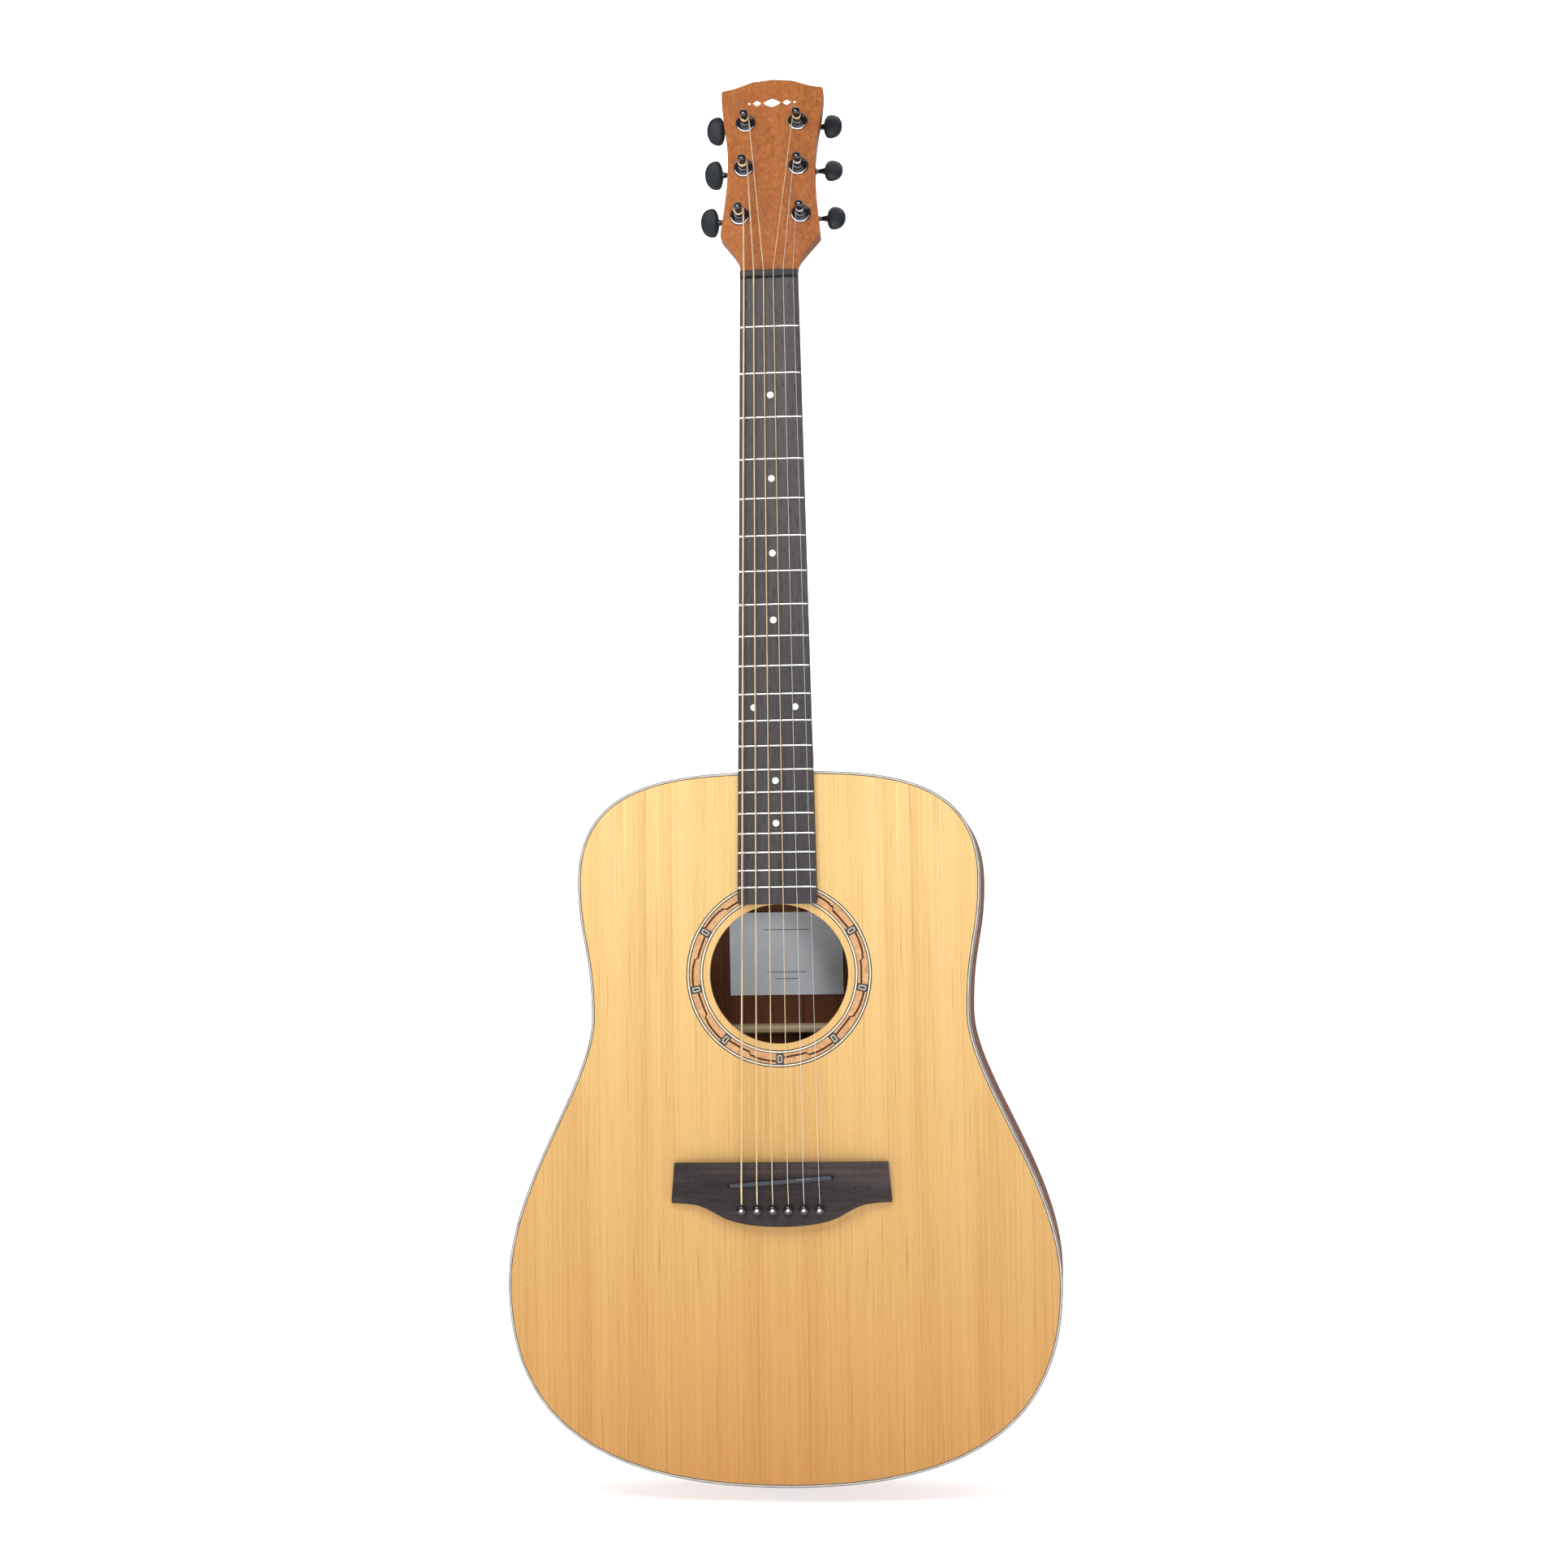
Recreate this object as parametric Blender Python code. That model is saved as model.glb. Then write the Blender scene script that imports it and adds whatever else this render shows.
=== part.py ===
"""Steel-string acoustic guitar with a dreadnought body, built as the separate pieces a maker would glue up.

Frame, in metres: the guitar stands upright. The origin is the middle of the nut's front edge, on the
plane that holds the soundboard's face and the underside of the fingerboard. +Z runs along the neck
towards the head, -Y comes out of the soundboard's face, and +X is the treble side.
"""

import math

import bmesh
import bpy
from mathutils import Matrix, Vector
from mathutils.geometry import interpolate_bezier

MM = 0.001
GAP = 0.3 * MM  # clearance between pieces that touch on the real instrument

# Strings, from the bass side to the treble side: their numbers and diameters
SCALE = 650 * MM
STRING_NUMBERS = (6, 5, 4, 3, 2, 1)
STRING_DIAMETERS = [d * MM for d in (1.35, 1.07, 0.81, 0.61, 0.41, 0.30)]
NUT_SPAN = 35.9 * MM
SADDLE_SPAN = 55.4 * MM
PIN_SPAN = 56.0 * MM

# Fingerboard and frets
BOARD_THICK = 6 * MM
BOARD_RADIUS = 400 * MM
BOARD_NUT_WIDTH = 42.6 * MM
BOARD_END_WIDTH = 57.6 * MM
BOARD_END = -457.5 * MM
FRET_COUNT = 20
FRET_HEIGHT = 1.1 * MM
FRET_WIDTH = 2.4 * MM
TANG_WIDTH = 0.6 * MM
TANG_DEPTH = 2.0 * MM
SPINE_WIDTH = 2.4 * MM
SPINE_TOP = -BOARD_THICK + TANG_DEPTH - 0.6 * MM
NUT_THICK = 5.5 * MM
NUT_ACTION = 0.5 * MM
SADDLE_ACTION = 4.4 * MM

# Neck and head
SHAFT_DEPTHS = (15 * MM, 17.5 * MM)
SHAFT_END = -300 * MM
HEEL_REACH = 27 * MM
HEEL_DEPTH = 96.5 * MM
TENON_HALF = 9 * MM
TENON_LENGTH = 18 * MM
TENON_DEPTH = 80 * MM
HEAD_TILT = math.radians(14)
HEAD_THICK = 15 * MM
HEAD_CREST = 161 * MM
HEAD_CORNER = (38.2 * MM, 153 * MM)
HEAD_WAIST = (32.4 * MM, 88 * MM)
HEAD_FLARE = (36.9 * MM, 31 * MM)
ROD_HALF = 2.7 * MM
ROD_AXIS = 6.9 * MM
ROD_ENDS = (-14 * MM, -400 * MM)

# Body outline: each point is (half width, height along Z) and its curve is square to the axis there
BODY_TOP = -361.5 * MM
UPPER_BOUT = (146 * MM, -440 * MM)
WAIST = (136.5 * MM, -537 * MM)
LOWER_BOUT = (199 * MM, -728 * MM)
BODY_TAIL = -872 * MM
DEPTH_AT_NECK = 100 * MM
DEPTH_AT_TAIL = 118 * MM
BACK_RADIUS = 4.6
PLATE_THICK = 2.8 * MM
RIM_THICK = 2.2 * MM
BINDING_WIDE = 2.0 * MM
BINDING_TALL = 6.0 * MM
LINING_WIDE = 5.5 * MM
LINING_TALL = 12 * MM
HOLE_CENTRE = -507.5 * MM
HOLE_RADIUS = 50 * MM
HOLE_STEPS = 36
ROSETTE_RADII = (55 * MM, 67 * MM)
ROSETTE_THICK = 1.2 * MM

# Braces in mm. Soundboard bars: name, start and end as (x, z), width, height
TOP_BARS = (
    ("x_bass", (-128, -481), (180, -731), 8, 14),
    ("x_treble", (128, -481), (-180, -731), 8, 14),
    ("transverse", (-134, -434), (134, -434), 10, 15),
    ("side_bass", (-62, -430), (-62, -538), 9, 5),
    ("side_treble", (62, -430), (62, -538), 9, 5),
    ("tone_upper", (130, -690), (-112, -768), 7, 11),
    ("tone_lower", (160, -716), (-66, -832), 7, 10),
    ("finger_1", (-86, -655), (-152, -618), 6, 8),
    ("finger_2", (-122, -684), (-172, -668), 6, 8),
    ("finger_3", (86, -655), (152, -618), 6, 8),
    ("finger_4", (122, -684), (172, -668), 6, 8),
)
# Back bars: name, z, half length, width, height
BACK_BARS = (
    ("back_1", -447, 131, 8, 15),
    ("back_2", -549, 125, 8, 15),
    ("back_3", -672, 174, 17, 9),
    ("back_4", -778, 176, 17, 9),
)

# Bridge
SADDLE_Z = -655.5 * MM
SADDLE_SLANT = 0.075
SADDLE_SIZE = (75 * MM, 3 * MM)
PIN_Z = -675.5 * MM
BRIDGE_TOP = -642 * MM
BRIDGE_WING_FOOT = -670.5 * MM
BRIDGE_BELLY = -687.5 * MM
BRIDGE_THICK = 8 * MM
BRIDGE_END_THICK = 3.8 * MM
WING_REACH = (48 * MM, 84 * MM)
SADDLE_SLOT_FLOOR = -3 * MM
PIN_HOLE_RADIUS = 3 * MM
PIN_SLOT_HALF = 1.3 * MM
PIN_SLOT_END = 6.3 * MM

# Tuning machines: post place on the head as (half spacing, distance along the face from the nut)
POSTS = [(22.6 * MM, 46.8 * MM), (20.3 * MM, 86.8 * MM), (19.5 * MM, 124.5 * MM)]
KEY_TURNS = [math.radians(a) for a in (30, 33, 22, -10, -21, -15)]
MODULE = 0.56 * MM
GEAR_TEETH = 14
WORM_PITCH_RADIUS = 2.08 * MM
WORM_STEPS = 10
WORM_HALF_STEPS = 14
TOOTH_THINNED = 0.12 * MM
KEY_DEPTH = 19.4 * MM
POST_RADIUS = 3 * MM
POST_WAIST = 2.4 * MM
POST_TOP = 17 * MM
STRING_LEVEL = 7.5 * MM
HOUSING_DEPTH = 8.8 * MM
HOUSING_OUTLINE = (  # across and up the head from the post, in mm
    (-7.6, -7.4), (7.6, -7.4), (8.6, -6.4), (8.6, 9.6), (7.6, 10.6), (-7.6, 10.6), (-8.6, 9.6),
    (-8.6, -6.4),
)
BUTTON_REACH = 25 * MM
BUTTON_SHAPE = (  # along the key's axis from the button's middle: half length and half thickness, in mm
    (-7, 2.4, 2.2), (-6.2, 6.9, 3.0), (-4.8, 9.6, 3.7), (-1.8, 10.7, 4.1), (2.4, 9.4, 3.8),
    (5.4, 5.8, 2.8), (6.5, 2.4, 1.5),
)

GEAR_PITCH_RADIUS = MODULE * GEAR_TEETH / 2
GEAR_CENTRES = GEAR_PITCH_RADIUS + WORM_PITCH_RADIUS
LEAD = math.pi * MODULE


# ---------------------------------------------------------------- materials

def material(name, colour, roughness, metallic=0.0):
    made = bpy.data.materials.get(name) or bpy.data.materials.new(name)
    made.use_nodes = True
    shader = made.node_tree.nodes["Principled BSDF"]
    shader.inputs["Base Color"].default_value = (*colour, 1)
    shader.inputs["Roughness"].default_value = roughness
    shader.inputs["Metallic"].default_value = metallic
    return made


def finishes():
    return {
        "spruce": material("spruce", (0.78, 0.52, 0.22), 0.42),
        "mahogany": material("mahogany", (0.42, 0.19, 0.07), 0.45),
        "rosewood": material("rosewood", (0.07, 0.045, 0.045), 0.5),
        "ebony": material("ebony", (0.06, 0.055, 0.06), 0.55),
        "inner_wood": material("inner_wood", (0.62, 0.42, 0.22), 0.7),
        "binding": material("binding", (0.015, 0.015, 0.015), 0.3),
        "rosette": material("rosette", (0.66, 0.36, 0.16), 0.4),
        "black_plastic": material("black_plastic", (0.02, 0.02, 0.022), 0.45),
        "black_chrome": material("black_chrome", (0.05, 0.05, 0.055), 0.2, 1.0),
        "fret_wire": material("fret_wire", (0.75, 0.75, 0.76), 0.2, 1.0),
        "steel": material("steel", (0.4, 0.4, 0.42), 0.35, 1.0),
        "bronze": material("bronze", (0.72, 0.45, 0.22), 0.3, 1.0),
    }


# ---------------------------------------------------------------- mesh tools

def mesh_object(name, bm, finish):
    """A new object from a bmesh, its faces turned outwards and shaded smooth up to 35 degrees."""
    bmesh.ops.recalc_face_normals(bm, faces=bm.faces)
    mesh = bpy.data.meshes.new(name)
    bm.to_mesh(mesh)
    bm.free()
    mesh.shade_smooth()
    mesh.set_sharp_from_angle(angle=math.radians(35))
    obj = bpy.data.objects.new(name, mesh)
    if finish:
        mesh.materials.append(finish)
    bpy.context.scene.collection.objects.link(obj)
    return obj


def add_loft(bm, sections, closed=False):
    """Skin closed sections of equal point count, one to the next; the ends are capped unless closed."""
    rings = [[bm.verts.new(point) for point in section] for section in sections]
    pairs = list(zip(rings, rings[1:]))
    if closed:
        pairs.append((rings[-1], rings[0]))
    for first, second in pairs:
        count = len(first)
        for i in range(count):
            j = (i + 1) % count
            bm.faces.new((first[i], first[j], second[j], second[i]))
    if not closed:
        bm.faces.new(rings[0])
        bm.faces.new(rings[-1])


def loft(name, sections, finish, closed=False):
    bm = bmesh.new()
    add_loft(bm, sections, closed)
    return mesh_object(name, bm, finish)


def prism(name, outline, front, back, finish):
    """An (x, z) outline carried along Y from front to back."""
    sections = [[(x, y, z) for x, z in outline] for y in (front, back)]
    return loft(name, sections, finish)


def box_sections(low, high):
    corners = ((low[0], low[1]), (high[0], low[1]), (high[0], high[1]), (low[0], high[1]))
    return [[(x, y, z) for x, y in corners] for z in (low[2], high[2])]


def box(name, low, high, finish=None):
    return loft(name, box_sections(low, high), finish)


def boxes(name, corners):
    """One mesh that holds a box for each (low, high) pair, for cutting."""
    bm = bmesh.new()
    for low, high in corners:
        add_loft(bm, box_sections(low, high))
    return mesh_object(name, bm, None)


def circle(radius, steps, centre=(0, 0)):
    angles = [2 * math.pi * (i + 0.5) / steps for i in range(steps)]
    return [(centre[0] + radius * math.cos(a), centre[1] + radius * math.sin(a)) for a in angles]


def turned_sections(profile, steps):
    return [[(x, y, height) for x, y in circle(radius, steps)] for radius, height in profile]


def turned(name, profile, steps, finish, closed=False):
    """A profile of (radius, height) points turned about Z; a closed profile makes a bored piece."""
    return loft(name, turned_sections(profile, steps), finish, closed)


def helper(obj):
    obj.hide_render = True
    obj.display_type = "WIRE"
    return obj


def boolean(obj, other, operation):
    helper(other)
    step = obj.modifiers.new(f"{operation.lower()}_{other.name}", "BOOLEAN")
    step.operation = operation
    step.solver = "EXACT"
    step.object = other


def cut(obj, *cutters):
    for cutter in cutters:
        boolean(obj, cutter, "DIFFERENCE")


def fuse(obj, *pieces):
    for piece in pieces:
        boolean(obj, piece, "UNION")


def curve_between(start, handle_a, handle_b, end, steps):
    """Points of one cubic curve in a plane; the last point is left out."""
    ends = [Vector((*p, 0)) for p in (start, handle_a, handle_b, end)]
    return [Vector(p[:2]) for p in interpolate_bezier(*ends, steps + 1)[:-1]]


# ---------------------------------------------------------------- shared shapes

def fret_place(number):
    return -SCALE * (1 - 2 ** (-number / 12))


def board_half_width(z):
    share = z / BOARD_END
    return (BOARD_NUT_WIDTH + (BOARD_END_WIDTH - BOARD_NUT_WIDTH) * share) / 2


def board_surface(x):
    """Y of the crowned fingerboard surface."""
    return -BOARD_THICK + x * x / (2 * BOARD_RADIUS)


def crown_stations(half):
    return (-half, -half / 3, half / 3, half)


def string_places(span):
    return [span * (i / 5 - 0.5) for i in range(6)]


def string_bottom_at_nut(x):
    return board_surface(x) - FRET_HEIGHT - NUT_ACTION


def string_bottom_at_saddle(x):
    return board_surface(x) - FRET_HEIGHT - SADDLE_ACTION


def saddle_place(x):
    return SADDLE_Z + SADDLE_SLANT * x


def on_head(x, along, out=0.0):
    """A point at a place on the head's face, raised out of it."""
    y = along * math.sin(HEAD_TILT) - out * math.cos(HEAD_TILT)
    z = NUT_THICK + along * math.cos(HEAD_TILT) + out * math.sin(HEAD_TILT)
    return Vector((x, y, z))


def head_half_outline():
    """(half width, distance along the face) from the nut up to the top corner."""
    waist_handle = 25 * MM
    cove = curve_between(
        (21.3 * MM, 0), (21.6 * MM, 11 * MM), (31 * MM, 22 * MM), HEAD_FLARE, 8
    )
    lower = curve_between(
        HEAD_FLARE, (HEAD_FLARE[0] - 1.2 * MM, HEAD_FLARE[1] + 16 * MM),
        (HEAD_WAIST[0], HEAD_WAIST[1] - waist_handle), HEAD_WAIST, 4,
    )
    upper = curve_between(
        HEAD_WAIST, (HEAD_WAIST[0], HEAD_WAIST[1] + waist_handle),
        (HEAD_CORNER[0], HEAD_CORNER[1] - waist_handle), HEAD_CORNER, 5,
    )
    return cove + lower + upper


def body_outline():
    """Closed (x, z) loop, from the middle of the top edge down the treble side and back up."""
    top, tail = (0, BODY_TOP), (0, BODY_TAIL)

    def above(point, length):
        return (point[0], point[1] + length)

    def below(point, length):
        return (point[0], point[1] - length)

    half = curve_between(top, (68 * MM, BODY_TOP), above(UPPER_BOUT, 78 * MM), UPPER_BOUT, 14)
    half += curve_between(UPPER_BOUT, below(UPPER_BOUT, 41 * MM), above(WAIST, 49 * MM), WAIST, 5)
    half += curve_between(WAIST, below(WAIST, 48 * MM), above(LOWER_BOUT, 72 * MM), LOWER_BOUT, 8)
    half += curve_between(LOWER_BOUT, below(LOWER_BOUT, 91 * MM), (143 * MM, BODY_TAIL), tail, 16)
    far_side = [Vector((-p.x, p.y)) for p in reversed(half[1:])]
    return half + [Vector(tail)] + far_side


def inset(loop, distance):
    """The outline moved inwards, square to itself at each point."""
    moved = []
    for before, here, after in zip(loop[-1:] + loop[:-1], loop, loop[1:] + loop[:1]):
        along = (after - before).normalized()
        moved.append(here + distance * Vector((along.y, -along.x)))
    return moved


def back_surface(x, z):
    """Y of the domed back's outer surface."""
    length = BODY_TOP - BODY_TAIL
    share = (BODY_TOP - z) / length
    taper = DEPTH_AT_NECK + (DEPTH_AT_TAIL - DEPTH_AT_NECK) * share
    dome = (length / 2) ** 2 - (z - (BODY_TOP + BODY_TAIL) / 2) ** 2 - x * x
    return taper + dome / (2 * BACK_RADIUS)


# ---------------------------------------------------------------- neck

def neck_section(outer, inner, half, power):
    """A closed section: flat along outer, rounded towards inner, both given as (z, y)."""
    start = Vector((0, outer[1], outer[0]))
    down = Vector((0, inner[1], inner[0])) - start
    points = []
    for i in range(13):
        angle = math.pi * i / 12
        side = math.copysign(abs(math.cos(angle)) ** (2 / power), math.cos(angle))
        points.append(start + down * math.sin(angle) ** (2 / power) + Vector((half * side, 0, 0)))
    return points


def head_sections():
    outline = [p for p in head_half_outline() if p.y > 3 * MM]
    outline.append(Vector((HEAD_CORNER[0], HEAD_CREST + 12 * MM)))
    sections = []
    for point in outline:
        squareness = min(1, point.y / HEAD_FLARE[1])
        face = on_head(0, point.y)
        back = on_head(0, point.y, -HEAD_THICK)
        power = 2.2 + 9 * squareness ** 2
        sections.append(neck_section((face.z, face.y), (back.z, back.y), point.x, power))
    return sections


def heel_sections():
    """From the body end of the shaft, round the elbow and down to the heel cap."""
    face = BODY_TOP + GAP
    centre = (SHAFT_END, 50 * MM)
    radii = (-(face + HEEL_REACH + 1.5 * MM - SHAFT_END), centre[1] - SHAFT_DEPTHS[1])
    elbow = (
        (22.5, (-322 * MM, 0), 26.4 * MM),
        (45, (-344 * MM, 0), 26.8 * MM),
        (62, (face, 0), 27.1 * MM),
        (78, (face, 22 * MM), 23.5 * MM),
        (90, (face, 50 * MM), 18.5 * MM),
    )
    sections = []
    for degrees, outer, half in elbow:
        angle = math.radians(degrees)
        inner = (centre[0] - radii[0] * math.sin(angle), centre[1] - radii[1] * math.cos(angle))
        sections.append(neck_section(outer, inner, half, 2.3))
    for depth, half in ((75 * MM, 15 * MM), (HEEL_DEPTH, 13 * MM)):
        sections.append(neck_section((face, depth), (face + HEEL_REACH, depth), half, 2.3))
    return sections


def shaft_sections():
    stations = [2 * MM] + [SHAFT_END * share for share in (0.12, 0.4, 0.7, 1)]
    sections = []
    for z in stations:
        share = max(0, z / SHAFT_END)
        depth = SHAFT_DEPTHS[0] + (SHAFT_DEPTHS[1] - SHAFT_DEPTHS[0]) * share
        sections.append(neck_section((z, 0), (z, depth), board_half_width(z) - 0.1 * MM, 2.2))
    return sections


def crest_cutter():
    """Takes the head's top down to its low, waved crest."""
    above = HEAD_CREST + 20 * MM
    wide = HEAD_CORNER[0] + 4 * MM
    corner = (HEAD_CORNER[0], HEAD_CORNER[1])
    shoulder = (14 * MM, HEAD_CREST - 1.3 * MM)
    right = curve_between(
        (0, HEAD_CREST), (5 * MM, HEAD_CREST - 0.2 * MM),
        (9 * MM, shoulder[1] + 0.1 * MM), shoulder, 3,
    )
    right += curve_between(
        shoulder, (21 * MM, shoulder[1] - 1.8 * MM), (26 * MM, corner[1] + 1.2 * MM), corner, 4
    )
    right += [Vector((wide, corner[1] - 0.4 * MM)), Vector((wide, above))]
    outline = right + [Vector((-p.x, p.y)) for p in reversed(right[1:])]
    sections = [[on_head(p.x, p.y, out) for p in outline] for out in (3 * MM, -HEAD_THICK - 3 * MM)]
    return loft("crest_cutter", sections, None)


def post_places():
    """(x, distance along the head) for each string, from the bass side round to the treble side."""
    bass = [(-x, along) for x, along in POSTS]
    treble = [(x, along) for x, along in reversed(POSTS)]
    return bass + treble


def neck(finish):
    sections = head_sections()[::-1] + shaft_sections() + heel_sections()
    made = loft("neck", sections, finish)
    tenon_back = BODY_TOP - TENON_LENGTH
    tenon = box(
        "tenon", (-TENON_HALF, 3.1 * MM, tenon_back), (TENON_HALF, TENON_DEPTH, BODY_TOP + 2 * MM)
    )
    bm = bmesh.new()
    for x, along in post_places():
        rings = [(5 * MM, 3 * MM), (5 * MM, -HEAD_THICK - 3 * MM)]
        sections = [
            [on_head(x + a, along + b, out) for a, b in circle(radius, 12)] for radius, out in rings
        ]
        add_loft(bm, sections)
    holes = mesh_object("post_holes", bm, None)
    channel = box(
        "rod_channel",
        (-ROD_HALF - GAP, -3 * MM, tenon_back - 2 * MM),
        (ROD_HALF + GAP, ROD_AXIS + 3.4 * MM, ROD_ENDS[0] + 2 * MM),
    )
    fuse(made, tenon)
    cut(made, crest_cutter(), holes, channel)
    return made


def heel_cap(finish):
    face = BODY_TOP + GAP
    sections = [
        neck_section((face, depth), (face + HEEL_REACH, depth), 13 * MM, 2.3)
        for depth in (HEEL_DEPTH + GAP, HEEL_DEPTH + 2.8 * MM)
    ]
    return loft("heel_cap", sections, finish)


def truss_rod(finish):
    low = (-ROD_HALF, ROD_AXIS - 2.7 * MM, ROD_ENDS[1])
    high = (ROD_HALF, ROD_AXIS + 2.7 * MM, ROD_ENDS[0])
    return box("truss_rod", low, high, finish)


def truss_rod_nut(finish):
    """A barrel with a hexagonal socket that opens towards the sound hole; its origin is on its axis."""
    barrel, socket, length = 3.6 * MM, 2.3 * MM, 12 * MM
    made = turned("truss_rod_nut", [(barrel, 0), (barrel, length)], 12, finish)
    hexagon = turned("nut_socket", [(socket, -1 * MM), (socket, 8 * MM)], 6, None)
    made.location = (0, ROD_AXIS, ROD_ENDS[1] - GAP - length)
    hexagon.parent = made
    cut(made, hexagon)
    return made


# ---------------------------------------------------------------- fingerboard, frets and nut

def fingerboard(finish):
    sections = []
    for z in (-GAP, BOARD_END):
        half = board_half_width(z)
        top = [(x, board_surface(x), z) for x in crown_stations(half)]
        sections.append([(-half, -GAP, z)] + top + [(half, -GAP, z)])
    made = loft("fingerboard", sections, finish)
    slot = TANG_WIDTH / 2 + 0.2 * MM
    floor = -BOARD_THICK + TANG_DEPTH + 1.2 * MM
    slots = []
    for number in range(1, FRET_COUNT + 1):
        z = fret_place(number)
        slots.append(((-40 * MM, -12 * MM, z - slot), (40 * MM, floor, z + slot)))
    groove = box(
        "spine_groove",
        (-SPINE_WIDTH / 2 - GAP, SPINE_TOP - GAP, fret_place(FRET_COUNT) - 1.5 * MM),
        (SPINE_WIDTH / 2 + GAP, 2 * MM, fret_place(1) + 1.5 * MM),
    )
    cut(made, boxes("fret_slots", slots), groove)
    return made


def fret_sections(number):
    """One fret: a low crown over a tang, following the board's crown across its width."""
    z = fret_place(number)
    half = board_half_width(z) - 0.4 * MM
    tang, edge = TANG_WIDTH / 2, FRET_WIDTH / 2
    profile = (
        (-tang, TANG_DEPTH), (-tang, -0.15 * MM), (-edge, -0.15 * MM), (-edge / 2, -FRET_HEIGHT),
        (edge / 2, -FRET_HEIGHT), (edge, -0.15 * MM), (tang, -0.15 * MM), (tang, TANG_DEPTH),
    )
    return [[(x, board_surface(x) + dy, z + dz) for dz, dy in profile] for x in crown_stations(half)]


def frets(finish):
    """All the frets, joined under the board by a thin spine."""
    made = box(
        "frets",
        (-SPINE_WIDTH / 2, SPINE_TOP, fret_place(FRET_COUNT) - 1 * MM),
        (SPINE_WIDTH / 2, SPINE_TOP + 2.4 * MM, fret_place(1) + 1 * MM),
        finish,
    )
    bm = bmesh.new()
    for number in range(1, FRET_COUNT + 1):
        add_loft(bm, fret_sections(number))
    fuse(made, mesh_object("fret_wires", bm, finish))
    return made


def nut(finish):
    half = BOARD_NUT_WIDTH / 2
    sections = []
    for z in (GAP / 2, NUT_THICK - GAP / 2):
        top = [(x, string_bottom_at_nut(x) - 0.7 * MM, z) for x in crown_stations(half)]
        sections.append([(-half, -GAP, z)] + top + [(half, -GAP, z)])
    made = loft("nut", sections, finish)
    slots = []
    for x, diameter in zip(string_places(NUT_SPAN), STRING_DIAMETERS):
        wide = diameter / 2 + 0.2 * MM
        floor = string_bottom_at_nut(x) + 0.2 * MM
        slots.append(((x - wide, floor - 5 * MM, -1 * MM), (x + wide, floor, NUT_THICK + 1 * MM)))
    cut(made, boxes("string_slots", slots))
    return made


# ---------------------------------------------------------------- body shell

def soundboard(finish):
    outline = inset(body_outline(), BINDING_WIDE + GAP)
    made = prism("soundboard", outline, 0, PLATE_THICK, finish)
    edge = circle(HOLE_RADIUS, HOLE_STEPS, (0, HOLE_CENTRE))
    hole = prism("sound_hole", edge, -3 * MM, PLATE_THICK + 3 * MM, None)
    inner, outer = ROSETTE_RADII[0] - GAP, ROSETTE_RADII[1] + GAP
    rings = (
        (inner, -2 * MM), (outer, -2 * MM),
        (outer, ROSETTE_THICK + GAP), (inner, ROSETTE_THICK + GAP),
    )
    channel = loft("rosette_channel", hole_rings(rings), None, closed=True)
    cut(made, hole, channel, pin_cutter("soundboard_pin_holes"))
    return made


def hole_rings(profile):
    """Sections of a ring about the sound hole's axis, from (radius, y) points."""
    sections = []
    for radius, y in profile:
        sections.append([(x, y, z) for x, z in circle(radius, HOLE_STEPS, (0, HOLE_CENTRE))])
    return sections


def rosette(finish):
    inner, outer = ROSETTE_RADII
    profile = ((inner, 0), (outer, 0), (outer, ROSETTE_THICK), (inner, ROSETTE_THICK))
    return loft("rosette", hole_rings(profile), finish, closed=True)


def back_plate(finish):
    """The domed back: two skins of nested outlines about a middle point, joined round the edge."""
    edge = inset(body_outline(), BINDING_WIDE + GAP)
    middle = Vector((0, -610 * MM))
    bm = bmesh.new()
    rims = []
    for offset in (-PLATE_THICK, 0):
        rings = []
        for share in (1, 0.5):
            ring = [middle.lerp(p, share) for p in edge]
            rings.append([bm.verts.new((p.x, back_surface(p.x, p.y) + offset, p.y)) for p in ring])
        centre = bm.verts.new((0, back_surface(0, middle.y) + offset, middle.y))
        count = len(edge)
        for i in range(count):
            j = (i + 1) % count
            bm.faces.new((rings[0][i], rings[0][j], rings[1][j], rings[1][i]))
            bm.faces.new((rings[1][i], rings[1][j], centre))
        rims.append(rings[0])
    for i in range(len(edge)):
        j = (i + 1) % len(edge)
        bm.faces.new((rims[0][i], rims[0][j], rims[1][j], rims[1][i]))
    return mesh_object("back_plate", bm, finish)


def end_pin_cutter(name):
    z = BODY_TAIL
    y = back_surface(0, z) / 2
    sections = [
        [(a, y + b, z + along) for a, b in circle(4.4 * MM, 10)] for along in (-5 * MM, 40 * MM)
    ]
    return loft(name, sections, None)


def rim(name, side, finish):
    """One bent rib, from the tenon's side at the neck to the seam at the tail."""
    outer = body_outline()
    inner = inset(outer, RIM_THICK)
    last = len(outer) // 2
    tenon_edge = TENON_HALF + GAP
    sections = []
    for i in range(last + 1):
        pair = []
        for point in (outer[i], inner[i]):
            x = point.x
            if i == 0:
                x = tenon_edge
            elif i == last:
                x = GAP / 2
            pair.append((x, point.y))
        if 0 < i < last and pair[0][0] < tenon_edge + 3 * MM:
            continue
        sections.append([
            (side * x, y, z)
            for x, z, y in (
                (*pair[0], BINDING_TALL + GAP), (*pair[1], BINDING_TALL + GAP),
                (*pair[1], back_surface(*pair[1]) - BINDING_TALL - GAP),
                (*pair[0], back_surface(*pair[0]) - BINDING_TALL - GAP),
            )
        ])
    made = loft(name, sections, finish)
    cut(made, end_pin_cutter(f"{name}_pin_hole"))
    return made


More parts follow.
